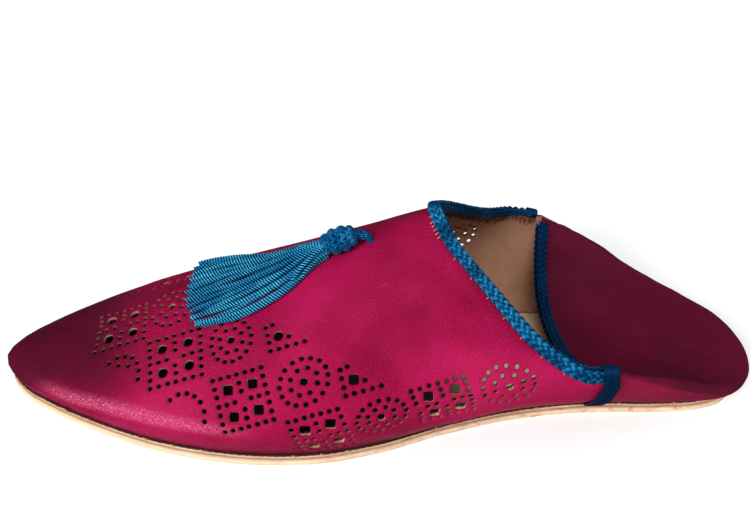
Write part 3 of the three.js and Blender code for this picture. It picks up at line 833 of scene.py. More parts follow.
HOLE_SINK, RIM_WIDTH, RIM_LIFT = 0.32, 0.34, 0.05  # how the punch presses the leather down


def dots_on_arc(x, side, wide, tall, start, end, count):
    """Small holes evenly along part of an ellipse, its angles running towards the heel."""
    angles = [lerp(start, end, k / (count - 1)) for k in range(count)]
    return [(x + wide * math.sin(a), side - tall * math.cos(a), DOT, False) for a in angles]


def ring_of(count, radius, turn=0.0):
    angles = [2 * math.pi * (k + turn) / count for k in range(count)]
    return [(radius * math.cos(angle), radius * math.sin(angle), DOT, False) for angle in angles]


def figure_holes(row):
    """The holes of a figure: x and side from its middle in pitches, radius, and whether square."""
    kind, square = row["kind"], row["hole"] == "square"
    large = SQUARE_HOLE if square else ROUND_HOLE
    if kind == "square":
        grid = [(i, j) for i in range(-3, 4) for j in range(-3, 4)]
        frame_and_cross = [
            (i, j, DOT, False) for i, j in grid if max(abs(i), abs(j)) == 3 or (i == 0) != (j == 0)
        ]
        corners = [(i, j, large, square) for i in (-1.52, 1.52) for j in (-1.52, 1.52)]
        return frame_and_cross + corners
    if kind == "circle":
        return ring_of(16, 7.8) + ring_of(8, 4.5, 0.5) + [(0, 0, EYE, False)]
    if kind == "corner":
        upright = [(-1.25, j, DOT, False) for j in (-1.45, -0.5, 0.5, 1.5)]
        foot = [(i, 1.5, DOT, False) for i in (-0.25, 0.75, 1.8, 2.85)]
        inside = [(-0.4, -1.6, DOT, False), (1.2, 0.35, DOT, False), (0, 0, large * 0.95, square)]
        return upright + foot + inside
    if kind == "hook":
        outer = dots_on_arc(3.2, 6.8, 6.3, 8.3, -0.55, 1.83, 7)
        return outer + dots_on_arc(3.2, 6.8, 4.2, 5.2, -0.12, 1.57, 3)
    return dots_on_arc(3.3, 9.3, 7.9, 10.2, -0.43, 1.7, 7)


def punched():
    """Every hole of the vamp: x, side, radius and whether it is square."""
    found = []
    for f, row in enumerate(FIGURES):
        for i, j, radius, square in figure_holes(row):
            wander = three_noises(Vector((i * 3.3 + f * 7.1, j * 3.3, f * 1.7))) * 0.22
            down = j * row["tall"]
            x = row["x"] + i * row["wide"] + down * row["lean"] + wander.x
            side = row["side"] + down + wander.y
            size = radius * (1 + 0.09 * wander.z / 0.22)
            if side > between_ribs(x, "length") - 3.2:
                continue
            for sign in (1, -1) if row["both"] else (1,):
                at = (x, side * sign)
                if all(math.dist(at, hole[:2]) > size + hole[2] + 0.45 for hole in found):
                    found.append((*at, size, square))
    return found


def metric(x, side):
    """How a step along the skin changes x and side."""
    e = 0.5
    forward = (bare_skin(x + e, side) - bare_skin(x - e, side)) / (2 * e)
    down = (bare_skin(x, side + e) - bare_skin(x, side - e)) / (2 * e)
    down.normalize()
    slip = forward.dot(down)
    return max(math.sqrt(max(forward.length_squared - slip * slip, 0.01)), 0.3), slip


def hole_loop(x, side, radius, square, count):
    """A hole's outline, true on the curved skin."""
    stretch, slip = metric(x, side)
    loop = []
    for k in range(count):
        angle = 2 * math.pi * (k + 0.5) / count
        a, b = math.cos(angle), math.sin(angle)
        if square:
            reach = 1 / max(abs(a), abs(b)) ** 0.82
            a, b = a * reach, b * reach
        a, b = a * radius, b * radius
        across = a / stretch
        loop.append((x + across, side + b - slip * across))
    return loop


def vamp_border():
    """The flat outline of the vamp, as (x, side): sole edge, seam and mouth, then mirrored."""
    near = spaced([(rib["x"], rib["length"]) for rib in RIBS], 1.5)
    nose = spaced([(RIB_X[0], RIBS[0]["length"] * (1 - k / 30)) for k in range(31)], 1.4)
    low, high = between_ribs(SEAM_X, "length"), between_ribs(SEAM_X, "open")
    back = [(SEAM_X, lerp(low, high, k / 26)) for k in range(27)]
    collar = spaced(CUT_LINE[::-1], 1.2)
    half = near[:-1] + back[:-1] + collar
    ring = half + [(x, -s) for x, s in half[::-1]]
    ring += [(x, -s) for x, s in nose[1:]] + nose[-2:0:-1]
    kept = {}
    for x, s in ring:
        kept.setdefault((round(x, 4), round(s, 4)), (x, s))
    return list(kept.values())


def free_places(holes):
    """Points in even rows over the vamp, clear of its outline and its holes."""
    pitch, cell = 1.55, 6.0
    shelves = {}
    for x, side, radius, square in holes:
        shelf = shelves.setdefault((int(x // cell), int(side // cell)), [])
        shelf.append((x, side, radius * (1.35 if square else 1) + 0.75))
    rows_of_points = int(230 / (pitch * 0.87))
    for j in range(-rows_of_points // 2, rows_of_points // 2 + 1):
        s = j * pitch * 0.866
        x = RIB_X[0] + 0.8 + (j % 2) * pitch / 2
        while x < SEAM_X - 0.7:
            if abs(s) < between_ribs(x, "length") - 0.9 and x < collar_x(s) - 0.8:
                i, k = int(x // cell), int(s // cell)
                near = [shelves.get((i + a, k + b), ()) for a in (-1, 0, 1) for b in (-1, 0, 1)]
                close = [hole for shelf in near for hole in shelf]
                if all((x - hx) ** 2 + (s - hs) ** 2 >= reach**2 for hx, hs, reach in close):
                    yield x, s
            x += pitch


def make_vamp():
    """The punched vamp as a wall of leather, and each point's shade: 1 at the large holes, whose
    cut edges are painted pale as if lit.
    """
    points, lifts, lines, loops = [], [], [], []

    def add_loop(places, lift=0.0):
        start = len(points)
        points.extend(places)
        lifts.extend([lift] * len(places))
        loop = list(range(start, len(points)))
        lines.extend(zip(loop, loop[1:] + loop[:1]))
        return loop

    holes = punched()
    add_loop(vamp_border())
    for x, side, radius, square in holes:
        count = 12 if radius > LARGE_HOLE or square else 9
        loops.append(add_loop(hole_loop(x, side, radius, square, count), -HOLE_SINK))
        add_loop(hole_loop(x, side, radius + RIM_WIDTH, square, count), RIM_LIFT)
    for place in free_places(holes):
        points.append(place)
        lifts.append(0.0)
    found = delaunay_2d_cdt([Vector(p) for p in points], lines, [], 0, 1e-6)
    coords, triangles, origins = found[0], found[2], found[3]
    owner = {old: new for new, olds in enumerate(origins) for old in olds}
    loop_of = {owner[v]: number for number, loop in enumerate(loops) for v in loop}
    raised_by = {owner[i]: lift for i, lift in enumerate(lifts)}
    places, normals = [], []
    for v, at in enumerate(coords):
        p, n = skin(at.x, at.y, raised_by.get(v, 0.0))
        places.append(p)
        normals.append(n)
    # the nose is one line of points seen from both sides, so they are joined there
    same = {}
    joined = list(range(len(coords)))
    for v, at in enumerate(coords):
        if at.x < RIB_X[0] + 1e-4:
            joined[v] = same.setdefault(round(abs(at.y), 3), v)
            places[v].y = 0
            normals[v] = Vector((normals[v].x, 0, normals[v].z)).normalized()
    faces = []
    for a, b, c in triangles:
        marks = {loop_of.get(v) for v in (a, b, c)}
        middle = (coords[a] + coords[b] + coords[c]) / 3
        outside_it = abs(middle.y) > between_ribs(middle.x, "length") + 1e-3
        if (len(marks) == 1 and None not in marks) or outside_it:
            continue
        if middle.x > collar_x(middle.y) + 1e-3:
            continue
        a, b, c = joined[a], joined[b], joined[c]
        if len({a, b, c}) < 3:
            continue
        turn = (places[b] - places[a]).cross(places[c] - places[a])
        faces.append((a, c, b) if turn.dot(normals[a] + normals[b] + normals[c]) < 0 else (a, b, c))
    large = {v for v, number in loop_of.items() if holes[number][2] > LARGE_HOLE}
    shades = [1.0 if v in large else 0.0 for v in range(len(coords))]
    return leather_wall(places, normals, faces, LEATHER), shades * 2


# ---------------------------------------------------------------- the back: wall, fold and flap
def fold_radius(t):
    """How round the fold is: sharp at the seam, open at the heel."""
    return FOLD_RADIUS * smooth((t - SEAM) / (1 - SEAM), 0, 0.35)


def wall_rib(t, steps=20):
    point, out = rim(t)
    height = crease_height(point.x) - fold_radius(t)
    return side_arc(point - out * UPPER_INSET, out, crease_stand(point.x), height, steps)


def flap_rib(t, steps=32):
    out = rim(t)[1]
    share = (t - SEAM) / (1 - SEAM)
    radius = fold_radius(t)
    crest = wall_rib(t)[-1]
    points = [crest]
    if radius > 0.05:
        for angle in (0.25, 0.5, 0.75, 1, 1.2, 1.4):
            inward, up = radius * (1 - math.cos(angle)), radius * math.sin(angle)
            x, y = crest.x - out.x * inward, crest.y - out.y * inward
            points.append(Vector((x, y, crest.z + up)))
    start = points[-1]
    middle = raised(spine_x(share), 0, spine_height(share))
    power = lerp(2.3, 1.5, share)
    for k in range(1, steps + 1):
        r = 1 - k / steps
        sag = r**power
        x = middle.x + (start.x - middle.x) * lerp(sag, r, share)
        points.append(Vector((x, start.y * r, middle.z + (start.z - middle.z) * sag)))
    return points


FLAP_CREASES = rows(
    "x y to_x to_y deep wide",
    (86, -8, 104, -19, 0.3, 4),
    (76, -22, 92, -27, 0.25, 3),
    (112, -6, 124, -14, 0.25, 3),
    (84, 10, 106, 20, 0.3, 4),
    (98, 0, 114, 2, 0.4, 6),
)


def flap_dip(p):
    """How far creases and unevenness push the flap in."""
    depth = 0.2 * noise.noise(Vector((p.x * 0.04, p.y * 0.05, 5.5))) + 0.14 * noise.noise(p * 0.14)
    for crease in FLAP_CREASES:
        off = widths_from(crease, p.xy)
        depth += crease["deep"] * math.exp(-off * off * 2)
    return depth


WALL_ROWS, FLAP_ROWS, BACK_COLUMNS = 16, 52, 110
BACK_ROWS = WALL_ROWS + 1 + FLAP_ROWS


def make_back():
    """The wall, fold and flap as one wall of leather, thinner where it folds."""
    columns = []
    for i in range(BACK_COLUMNS + 1):
        t = lerp(SEAM, 1.0, (i / BACK_COLUMNS) ** 0.92)
        columns.append(evenly(wall_rib(t), WALL_ROWS)[0] + evenly(flap_rib(t), FLAP_ROWS)[0][1:])
    columns += [[mirrored(p) for p in line] for line in columns[-2::-1]]
    last, top = len(columns) - 1, BACK_ROWS - 1
    points = [p for line in columns for p in line]
    # the flap's two halves meet on the middle line, so its last points are shared
    joined = list(range(len(points)))
    for i in range(BACK_COLUMNS):
        joined[(last - i) * BACK_ROWS + top] = i * BACK_ROWS + top
    faces = []
    for i in range(last):
        for j in range(top):
            a, b = i * BACK_ROWS + j, (i + 1) * BACK_ROWS + j
            faces.append(tuple(joined[v] for v in (a, b, b + 1, a + 1)))
    normals = [Vector() for _ in points]
    for face in faces:
        a, b, c, d = (points[v] for v in face)
        turn = (c - a).cross(d - b)
        for v in face:
            normals[v] += turn
    if normals[BACK_ROWS * 3 + 2].y > 0:
        faces = [tuple(reversed(face)) for face in faces]
        normals = [-n for n in normals]
    for n in normals:
        n.normalize()
    moved, thickness = [], []
    for v, (p, n) in enumerate(zip(points, normals)):
        column_at, j = divmod(v, BACK_ROWS)
        from_seam = min(column_at, last - column_at)
        on_wall = j <= WALL_ROWS
        from_fold = j - WALL_ROWS - 0.5
        thin = lerp(0.12, 1, smooth(-from_fold if on_wall else from_fold * 0.75, 0, 6))
        thickness.append(LEATHER * lerp(thin, max(thin, 0.6), smooth(from_seam, 10, 40)))
        free = (smooth(j, 2, 9) if on_wall else 1.0) * smooth(from_seam, 0, 6)
        moved.append(p - n * flap_dip(p) * free)
    return leather_wall(moved, normals, faces, thickness)


# ---------------------------------------------------------------- edges that carry a braid
def averaged(vectors, reach):
    smoothed = []
    for i in range(len(vectors)):
        total = Vector()
        for k in range(max(0, i - reach), min(len(vectors), i + reach + 1)):
            total += vectors[k]
        smoothed.append(total.normalized())
    return smoothed


def edge_stops(places, normals, away):
    """Stops along a leather edge: place, the way out of the leather, and the way past the edge."""
    pasts = []
    for i, normal in enumerate(normals):
        way = (places[min(i + 1, len(places) - 1)] - places[max(i - 1, 0)]).normalized()
        past = way.cross(normal).normalized()
        pasts.append(-past if past.dot(away) < 0 else past)
    columns = zip(places, averaged(normals, 4), averaged(pasts, 4), lengths_along(places))
    return [dict(zip(("place", "out", "past", "gone"), stop)) for stop in columns]


def collar_stops():
    near = spaced(CUT_LINE, 0.5)
    line = near[::-1] + [(x, -s) for x, s in near[1:]]
    found = [skin(x, s) for x, s in line]
    return edge_stops([p for p, _ in found], [n for _, n in found], Vector((1, 0, 0.5)))


def flap_stops():
    near, _ = evenly(flap_rib(SEAM), 90)
    behind, _ = evenly(flap_rib(SEAM + 0.004), 90)
    places = near + [mirrored(p) for p in near[-2::-1]]
    behind = behind + [mirrored(p) for p in behind[-2::-1]]
    normals = []
    for i, p in enumerate(places):
        way = places[min(i + 1, len(places) - 1)] - places[max(i - 1, 0)]
        n = way.cross(behind[i] - p).normalized()
        normals.append(-n if n.z < 0 else n)
    return edge_stops(places, normals, Vector((-1, 0, 0)))


def plait(heap, stops, out, past, lean, wide, high, radius, wave, strands, shades, flat=0.62):
    """Strands plaited over and under each other along an edge, darker where they pass under, round
    a flat core whose dark tone is painted shade in their gaps.
    """
    across_it, ups = [], []
    for stop in stops:
        across_it.append(stop["past"] * math.cos(lean) + stop["out"] * math.sin(lean))
        ups.append(stop["out"] * math.cos(lean) - stop["past"] * math.sin(lean))
    core = [stop["place"] + stop["out"] * (out - 0.15) + stop["past"] * past for stop in stops]
    # painted shade: a flat core in the darkest tone fills the gaps between the strands
    tube(heap, core, wide + 0.1, 8, ups=ups, flat=0.2, shade=0.0)
    for k in range(strands):
        path, strand_tones_and_under_shade = [], []
        for stop, across, up in zip(stops, across_it, ups):
            angle = 2 * math.pi * (stop["gone"] / wave + k / strands)
            base = stop["place"] + stop["out"] * out + stop["past"] * past
            wander = noise.noise(Vector((stop["gone"] * 0.15, k * 3.1, out))) * 0.1
            weave = math.sin((strands - 1) * angle)
            path.append(base + across * (wide * math.sin(angle) + wander) + up * high * weave)
            # painted shade: a strand's tone darkens where it passes under, and goes darkest deep
            # under a crossing
            tint = min(shades[k % len(shades)] * (0.6 + 0.65 * weave), 1.0)
            strand_tones_and_under_shade.append(tint if weave > -0.9 else 0.0)
        tube(heap, path, radius, 8, ups=ups, flat=flat, shade=strand_tones_and_under_shade)


def short_stitch(heap, a, b, lift, radius, shade):
    """One stitch from a to b, arched by `lift`."""
    path = [a.lerp(b, k / 4) + lift * math.sin(math.pi * k / 4) for k in range(5)]
    tube(heap, path, radius, 5, shade=shade)


def side_tape(heap, sign, end, curl):
    """The collar braid's tail: folded over the edge, then a flat tape down the side to the sole."""
    cords, shades = 7, (0.0, 0.3, 0.15)
    over = [(-2.6, -1.6), (-2.5, 0.2), (-1.9, 1.7), (-0.6, 2.5)]
    over += [(0.9, 2.3), (1.9, 1.2), (2.3, -0.4)]
    along = end["out"].cross(end["past"]).normalized()
    along = -along if along.x < 0 else along
    for c in range(cords):
        path, ups = [], []
        offset = (c / (cords - 1) - 0.5) * TAPE["width"] * 0.8
        for out, past in over:
            p = end["place"] + (end["out"] * out + end["past"] * past + along * offset) * curl
            path.append(p)
            n = end["out"] * (out + 0.3) + end["past"] * max(past, 0.2)
            ups.append(n.normalized())
        for j in range(46):
            share = lerp(0.9, 0.05, j / 45)
            wander = noise.noise(Vector((c * 2.7, share * 2.2, sign))) * 0.35
            x = end["place"].x + TAPE["lean"] * (1 - share) + offset * lerp(0.9, 1, share) + wander
            p, n = outside(x, share)
            p = p + n * (0.8 + 0.12 * (c % 2) + 1.3 * smooth(share, 0.72, 0.92))
            path.append(Vector((p.x, p.y * sign, p.z)))
            ups.append(Vector((n.x, n.y * sign, n.z)))
        shade = shades[c % 3]
        tube(heap, path, 0.68, 8, ups=ups, flat=0.85, swell=0.14, twist=0.28, shade=shade)


def outside(x, share):
    """A point of the shoe's outer side near the seam, this share of the way up to its top edge."""

    def place(x, share):
        if x > SEAM_X:
            line = evenly(wall_rib(share_at(x)), 40)[0]
            at = share * 40
            i = min(int(at), 39)
            return line[i].lerp(line[i + 1], at - i)
        bottom, top = between_ribs(x, "length"), between_ribs(x, "open")
        return bare_skin(x, bottom + (top - bottom) * share)

    share = min(share, 0.99)
    p = place(x, share)
    forward = place(x + 0.6, share) - place(x - 0.6, share)
    n = forward.cross(place(x, share + 0.01) - place(x, share - 0.01)).normalized()
    return p, -n if n.y > 0 else n


# ---------------------------------------------------------------- the tassel
skirt_side = column(SKIRT, "side")
skirt_half = column(SKIRT, "half")
skirt_thick = column(SKIRT, "thick")


def make_skirt(heap):
    """The tassel's cords from the knot outwards, the far ones lifted off the leather."""
    cords, steps = 26, 170
    for k in range(cords):
        spread = -1 + 2 * (k + 0.5) / cords
        ragged = noise.noise(Vector((k * 1.9, 0.3, 0.8)))
        end = -69.2 - 2.4 * ragged - 1.6 * (1 - spread * spread) + (2.6 if k == 0 else 0)
        end += 4.2 * smooth(-spread, 0.35, 1) + 1.5 * smooth(spread, 0.6, 1)
        if k >= cords - 2:
            end += 1.5
        path = []
        for i in range(steps + 1):
            s = i / steps
            x = lerp(-23.6, end, s)
            loose = noise.noise(Vector((k * 2.3, s * 2.6, 1.1))) * (0.02 + 0.11 * s)
            opened = lerp(0.36, 0.97, smooth(s, -0.06, 0.34))
            a = spread * opened * (1 + 0.16 * math.sin(math.pi * s)) + loose
            a += 0.03 * math.sin(k * 2.4) * smooth(s, 0.4, 1)
            if k >= cords - 3:
                a += 0.2 * math.sin(math.pi * min(s * 1.05, 1))
            first, then = ((0.0, 0.0), (0.34, 0.62), (0.68, 0.15), (1.0, 0.5))[k % 4]
            level = lerp(first, then, smooth(s, 0, 0.75))
            roof = math.sqrt(max(0.0, 1 - min(abs(a), 1) ** 2))
            thick = skirt_thick(x)
            up_end = smooth(s, 0.25, 1) * smooth(-spread, -0.3, 1)
            p, n = skin(x, skirt_side(x) + skirt_half(x) * a - 2.4 * up_end)
            rise = 1.1 + 4.6 * up_end + level * max(thick - 1.5, 1.2) * lerp(roof, 1, 0.4 * s)
            path.append(p + n * rise)
        shade = 0.72 + 0.6 * noise.noise(Vector((k * 5.1, 2.2, 0)))
        tube(heap, path, 0.76, 8, swell=0.28, twist=0.5, shade=min(max(shade, 0.2), 1.0))


def make_head(heap):
    """The tassel's knot: a core coloured darker than its cord, painted shade in the gaps, wound
    both ways with cord, and a ring of cord at each end.
    """
    p, n = skin(HEAD["x"], HEAD["side"])
    ahead, behind = bare_skin(HEAD["x"] + 3, HEAD["side"]), bare_skin(HEAD["x"] - 3, HEAD["side"])
    forward = (ahead - behind).normalized()
    across = n.cross(forward).normalized()
    centre = p + n * (0.6 + HEAD["height"] / 2)
    half = (HEAD["length"] / 2, HEAD["width"] / 2, HEAD["height"] / 2)

    def on(t, angle, out):
        girth = math.sin(math.pi * t) ** 0.62
        sideways = across * math.cos(angle) * (half[1] * girth + out)
        upwards = n * math.sin(angle) * (half[2] * girth + out)
        return centre - forward * (half[0] * math.cos(math.pi * t)) + (sideways + upwards)

    rings, around = 18, 20
    points, faces = [], []
    for i in range(rings + 1):
        for k in range(around):
            points.append(on(lerp(0.02, 0.98, i / rings), 2 * math.pi * k / around, -1.5))
            if i < rings:
                a, b = i * around + k, i * around + (k + 1) % around
                faces.append((a, b, b + around, a + around))
    faces += [tuple(reversed(range(around))), tuple(rings * around + k for k in range(around))]
    # painted shade: the core's dark tone shows in the gaps between the windings
    heap.add(points, faces, 0.0)
    strands = 10
    for way in (1, -1):
        for k in range(strands):
            path = []
            for i in range(61):
                t = lerp(0.05, 0.95, i / 60)
                angle = 2 * math.pi * (k / strands) + way * 2 * math.pi * 0.55 * t
                weave = math.cos(strands * angle - way * math.pi / 2)
                path.append(on(t, angle, -0.75 + 0.4 * weave))
            shade = 0.3 + 0.5 * ((k + (way > 0)) % 2)
            tube(heap, path, 0.74, 7, swell=0.12, twist=0.4, shade=shade)
    for at in (-0.93, 0.95):
        ring = [on(0.5 + 0.5 * at * 0.86, 2 * math.pi * k / 24, -0.5) for k in range(25)]
        tube(heap, ring, 0.75, 7, swell=0.2, twist=0.4, shade=0.3)


def make_loop(heap):
    """Two twisted cords that tie the knot down, through (x, side, height over the skin)."""
    line = [(-13.6, 1.7, 4.4), (-12.6, 1.6, 4.1), (-11.6, 1.5, 3.3)]
    line += [(-10.6, 1.4, 2.6), (-9.7, 1.4, 1.6), (-9.1, 1.4, -0.6)]
    for shift, shade in ((0.8, 0.6), (-0.8, 0.3)):
        path = []
        for i in range(len(line) - 1):
            for k in range(10):
                f = k / 10
                x, s, rise = (lerp(line[i][c], line[i + 1][c], f) for c in range(3))
                p, n = skin(x, s)
                turn = 2 * math.pi * x / 4.6
                aside = Vector((0, 1, 0)) * shift * 1.3 * math.cos(turn)
                path.append(p + n * (rise + shift * math.sin(turn)) + aside)
        tube(heap, path, 1.15, 8, swell=0.15, twist=0.5, shade=shade)


# ---------------------------------------------------------------- the sole's layers
def sole_layer(heap, section, rough=0.12, seed=0.0, browned=()):
    """A layer cut to the sole's outline. Its section is (inset from the outline, height)."""
    count, high = 260, len(section)
    near = []
    for i in range(count + 1):
        point, out = rim(i / count)
        for inset, height in section:
            spot = Vector((point.x * 0.5, point.y * 0.5, height * 1.3 + seed))
            p = point - out * (inset + rough * noise.noise(spot))
            near.append(Vector((p.x, p.y if 0 < i < count else 0.0, height + spring(p.x))))
    shift = len(near)
    faces = []
    for i in range(count):
        for j in range(high - 1):
            a, b = i * high + j, (i + 1) * high + j
            faces.append((a, b, b + 1, a + 1))
            faces.append((shift + a + 1, shift + b + 1, shift + b, shift + a))
        for j, order in ((0, 1), (high - 1, -1)):
            a, b = i * high + j, (i + 1) * high + j
            faces.append((a, shift + a, shift + b, b)[::order])
    shades = [1.0 if v % high in browned else 0.0 for v in range(shift)]
    heap.add(near + [mirrored(p) for p in near], faces, shades * 2)


# ---------------------------------------------------------------- stitches, seam and frayed edge
def side_of(sign, *vectors):
    return vectors if sign > 0 else [mirrored(v) for v in vectors]


def make_sole_stitches(heap):
    """Slanting stitches that show here and there where the upper meets the sole."""
    count = 30
    for sign in (1, -1):
        for k in range(1, count):
            t = k / count + 0.008 * noise.noise(Vector((k * 3.7, sign, 0.5)))
            point, out = rim(min(max(t, 0.0), 1.0))
            way = Vector((-out.y, out.x, 0))
            low, top = point - out * 0.3 + way * 0.9, point + out * 0.15 - way * 0.9
            low.z, top.z = 4.3 + spring(point.x), 5.0 + spring(point.x)
            low, top, out = side_of(sign, low, top, out)
            bright = noise.noise(Vector((k * 1.3, sign * 4.4, 2.2)))
            if bright > -0.1:
                short_stitch(heap, low, top, out * 0.3, 0.3, 0.5 + bright)


def make_collar_stitches(heap, stops):
    """Marks of thread below the collar braid, close and pale beside its peak, sparse elsewhere."""
    middle = stops[-1]["gone"] / 2
    for i, stop in enumerate(stops):
        pale = 4 < middle - stop["gone"] < 11 and i % 3 == 0
        if pale or i % 17 == 3:
            low = stop["place"] + stop["out"] * 0.15 - stop["past"] * (4.6 if pale else 4.1)
            top = stop["place"] + stop["out"] * 0.7 - stop["past"] * 3.1
            radius, shade = (0.2, 1.0) if pale else (0.17, 0.5)
            short_stitch(heap, low, top, stop["out"] * 0.25, radius, shade)


def make_seam_cord(heap):
    """The dark line where the upper is drawn down on to the sole: a cord that stands partly for the
    seam's thread and partly for painted shade along the junction.
    """
    for sign in (1, -1):
        path, ups = [], []
        for k in range(361):
            point, out = rim(k / 360)
            ragged = noise.noise(Vector((point.x * 0.35, point.y * 0.35, sign * 3.0)))
            p = point - out * (0.35 - 0.4 * ragged)
            p.z = 4.68 + 0.3 * ragged + spring(point.x)
            p, out = side_of(sign, p, out)
            path.append(p)
            ups.append(out)
        tube(heap, path, 0.46, 7, ups=ups, flat=0.8, swell=0.25, twist=0.2, shade=0.0)


def make_fray(heap, stops):
    """Leather fibres that hang from the far edge of the mouth."""
    fibres, steps = 150, (0, 0.25, 0.5, 0.75, 1)
    for k in range(fibres):
        i = int(lerp(len(stops) * 0.6, len(stops) * 0.985, k / (fibres - 1)))
        place, out, past, _ = stops[i].values()
        a, b, c = three_noises(Vector((k * 5.31, 1.7, 4.2)))
        start = place - out * (2.1 + 0.3 * a) - past * (0.9 + 0.6 * b)
        sweep = (past * -1 + out * (-0.35 + 0.3 * c)).normalized()
        length = 2.2 + 2.6 * abs(a) + 1.5 * b
        way = stops[min(i + 1, len(stops) - 1)]["place"] - stops[i - 1]["place"]
        path = []
        for f in steps:
            bent = start + sweep * length * f + way * (a * 2.5 * f * f)
            path.append(bent - out * 0.35 * math.sin(f * 2.6))
        tube(heap, path, lambda f: 0.2 * (1 - 0.6 * f), 4)


# ---------------------------------------------------------------- finishes and pieces
# the punched edges' pale is painted light for the large holes, their dark brown painted shade for
# the small ones
punched_edge = cut_edge("punched_edge", (0.7, 0.46, 0.28), (0.12, 0.05, 0.028))
lining = lining_leather()
blue_braid = thread(
    "blue_satin_braid", (0.0003, 0.008, 0.032), (0.0006, 0.036, 0.13), (0.03, 0.5, 1.0), 0.27
)
navy_braid = thread(
    "navy_satin_braid", (0.0003, 0.007, 0.03), (0.0008, 0.025, 0.095), (0.003, 0.08, 0.22)
)
silk_cord = thread(
    "turquoise_silk_cord", (0.0006, 0.013, 0.06), (0.002, 0.14, 0.38), (0.11, 0.76, 1.0), 0.26, 0.5
)
knot_cord = thread(
    "turquoise_knot_cord", (0.0004, 0.013, 0.055), (0.001, 0.075, 0.24), (0.05, 0.52, 0.92), 0.26
)
waxed_thread = thread(
    "waxed_thread", (0.3, 0.17, 0.06), (0.55, 0.36, 0.16), (0.85, 0.62, 0.5), 0.6, plies=5.0
)
# partly painted shade: the dark seam cord also darkens the junction of upper and sole
dark_thread = thread(
    "dark_seam_thread_and_shade",
    (0.012, 0.004, 0.004),
    (0.05, 0.015, 0.012),
    (0.16, 0.07, 0.04),
    0.7,
    plies=4.0,
)
tan_sole = sole_leather("tan_sole", (0.93, 0.76, 0.56), (0.76, 0.52, 0.33), (0.2, 0.1, 0.06))
brown_sole = sole_leather(
    "brown_midsole", (0.84, 0.6, 0.42), (0.52, 0.26, 0.16), (0.14, 0.05, 0.04)
)

(points, faces, kinds), shades = make_vamp()
vamp = Heap()
vamp.add(points, faces, shades, kinds=kinds)
vamp.piece("vamp", [upper_leather(), lining, punched_edge], "upper_leather", ["upper"])

points, faces, kinds = make_back()
on_wall = [1.0 if v % BACK_ROWS < WALL_ROWS else 0.0 for v in range(len(points))]
back = Heap()
back.add(points, faces, on_wall, kinds=kinds)
back.piece("folded_back", [quarter_leather(), lining, punched_edge], "upper_leather", ["upper"])

collar = collar_stops()
bound = [stop for stop in collar if 4.5 < stop["gone"] < collar[-1]["gone"] - 4.5]
outer = Heap()
plait(outer, bound, 0.9, -1.3, -0.12, 1.8, 0.58, 0.6, 13.5, 5, (0.55, 0.95, 0.7))
plait(outer, bound, -1.55, 0.7, 0.95, 0.8, 0.3, 0.6, 8.0, 3, (0.1, 0.35, 0.2))
outer.piece("collar_plait", [blue_braid], "braid_cord", ["collar_braid"])
tapes = Heap()
side_tape(tapes, 1, bound[0], 0.85)
side_tape(tapes, -1, bound[-1], 0.62)
tapes.piece("side_tapes", [navy_braid], "braid_cord", ["collar_braid"])

flap_edge = [stop for stop in flap_stops() if stop["gone"] > 3]
flap_edge = [stop for stop in flap_edge if stop["gone"] < flap_edge[-1]["gone"] - 3]
flap = Heap()
plait(flap, flap_edge, 0.8, -1.2, -0.12, 1.55, 0.5, 0.58, 12.5, 5, (0.2, 0.6, 0.4))
plait(flap, flap_edge, -1.5, 0.65, 0.95, 0.72, 0.3, 0.56, 8.0, 3, (0.0, 0.25, 0.1))
flap.piece("flap_plait", [navy_braid], "braid_cord", ["flap_braid"])

for name, make, finish, node in (
    ("tassel_cords", make_skirt, silk_cord, "tassel_skirt"),
    ("tassel_knot", make_head, knot_cord, "tassel_head"),
    ("tassel_tie", make_loop, knot_cord, "tassel_loop"),
):
    heap = Heap()
    make(heap)
    heap.piece(name, [finish], "tassel_cord", [node])

# each layer's section, raggedness, seed and browned points of the section
OUTSOLE = [(0.9, 0.0), (0.35, 0.12), (0.05, 0.6), (0, 1.3), (0.05, 2.1), (0.3, 2.5), (0.8, 2.6)]
MIDSOLE = [(1.3, 2.7), (0.7, 2.85), (0.45, 3.3), (0.45, 3.9), (0.7, 4.25), (1.4, 4.3)]
INSOLE = [(1.9, 4.4), (1.7, 5.1), (1.8, 5.65), (2.3, 5.8)]
for name, layer, finish, slot, node in (
    ("tan_outsole", (OUTSOLE, 0.2, 0.0, (5, 6)), tan_sole, "sole_leather", "outsole"),
    ("brown_midsole", (MIDSOLE, 0.26, 4.0, (0, 1, 5)), brown_sole, "welt_leather", "midsole"),
    ("pale_insole", (INSOLE, 0.2, 9.0), sock_leather(), "sock_leather", "insole"),
):
    heap = Heap()
    sole_layer(heap, *layer)
    heap.piece(name, [finish], slot, [node])

seam = Heap()
make_sole_stitches(seam)
make_collar_stitches(seam, collar)
seam.piece("waxed_stitches", [waxed_thread], "stitch_thread")
line = Heap()
make_seam_cord(line)
line.piece("dark_seam_cord", [dark_thread], "stitch_thread")
fray = Heap()
make_fray(fray, collar)
fibre = cut_edge("frayed_fibres", (0.36, 0.13, 0.08), (0.13, 0.03, 0.025))
fray.piece("frayed_edge", [fibre], "lining_leather")

# ---------------------------------------------------------------- floor, light and camera
bpy.ops.mesh.primitive_plane_add(size=6, location=(0, 0, -0.0002))
floor = bpy.context.object
floor.name = "floor"
glow = dict(Emission_Color=(1, 1, 1, 1), Emission_Strength=0.5)
paper = Finish("white_paper", Roughness=0.9, Specular_IOR_Level=0.0, **glow)
paper.paint(paper.blend(paper.clouds(3, 2), (0.64, 0.64, 0.645), (0.68, 0.68, 0.685)))
floor.data.materials.append(paper.material)
floor.visible_glossy = False


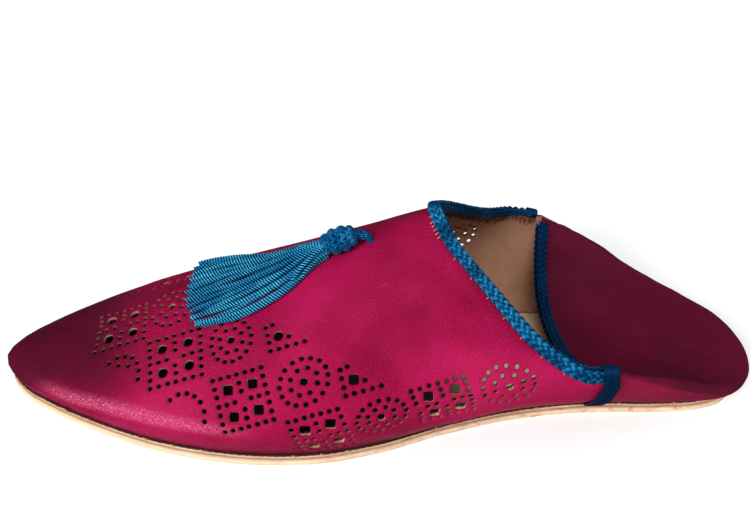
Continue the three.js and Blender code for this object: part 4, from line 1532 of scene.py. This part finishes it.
def sun(name, direction, strength, angle, colour=(1, 1, 1)):
    light = bpy.data.lights.new(name, "SUN")
    light.energy, light.angle, light.color = strength, angle, colour
    made = bpy.data.objects.new(name, light)
    made.rotation_euler = Vector(direction).to_track_quat("-Z", "Y").to_euler()
    bpy.context.scene.collection.objects.link(made)


sun("window", (0.63, 0.62, -0.47), 2.4, 0.35, (1.0, 0.97, 0.94))
sun("window_low", (0.8, 0.56, -0.22), 0.35, 0.14)
sun("window_side", (0.5, 0.84, -0.24), 0.35, 0.14)
sun("room", (-0.25, 0.35, -0.9), 1.2, 1.2, (0.95, 0.97, 1.0))

# a room that is brighter towards its ceiling
world = bpy.data.worlds.new("room")
world.use_nodes = True
sky, wires = world.node_tree.nodes, world.node_tree.links
height = sky.new("ShaderNodeSeparateXYZ")
wires.new(sky.new("ShaderNodeTexCoord").outputs["Generated"], height.inputs[0])
brighter = sky.new("ShaderNodeMapRange")
wires.new(height.outputs[2], brighter.inputs["Value"])
for socket, value in (("From Min", 0.05), ("To Min", 0.04), ("To Max", 0.34)):
    brighter.inputs[socket].default_value = value
sky["Background"].inputs[0].default_value = (0.9, 0.93, 1, 1)
wires.new(brighter.outputs[0], sky["Background"].inputs[1])
bpy.context.scene.world = world
bpy.context.scene.view_settings.view_transform = "Standard"

CAMERA_PLACE = (-57, -303, 253)
yaw, pitch, roll = math.radians(9.4), math.radians(33.2), math.radians(3.7)
ahead = Vector((math.sin(yaw) * math.cos(pitch), math.cos(yaw) * math.cos(pitch), -math.sin(pitch)))
level = Vector((math.cos(yaw), -math.sin(yaw), 0))
above = level.cross(ahead)
right = level * math.cos(roll) + above * math.sin(roll)
above = above * math.cos(roll) - level * math.sin(roll)
camera = bpy.data.objects.new("camera", bpy.data.cameras.new("camera"))
turned = Matrix((right, above, -ahead)).transposed().to_4x4()
camera.matrix_world = Matrix.Translation(placed(CAMERA_PLACE)) @ turned
camera.data.sensor_width = 36
camera.data.lens = 50.06
camera.data.clip_start = 0.01
bpy.context.scene.collection.objects.link(camera)
bpy.context.scene.camera = camera
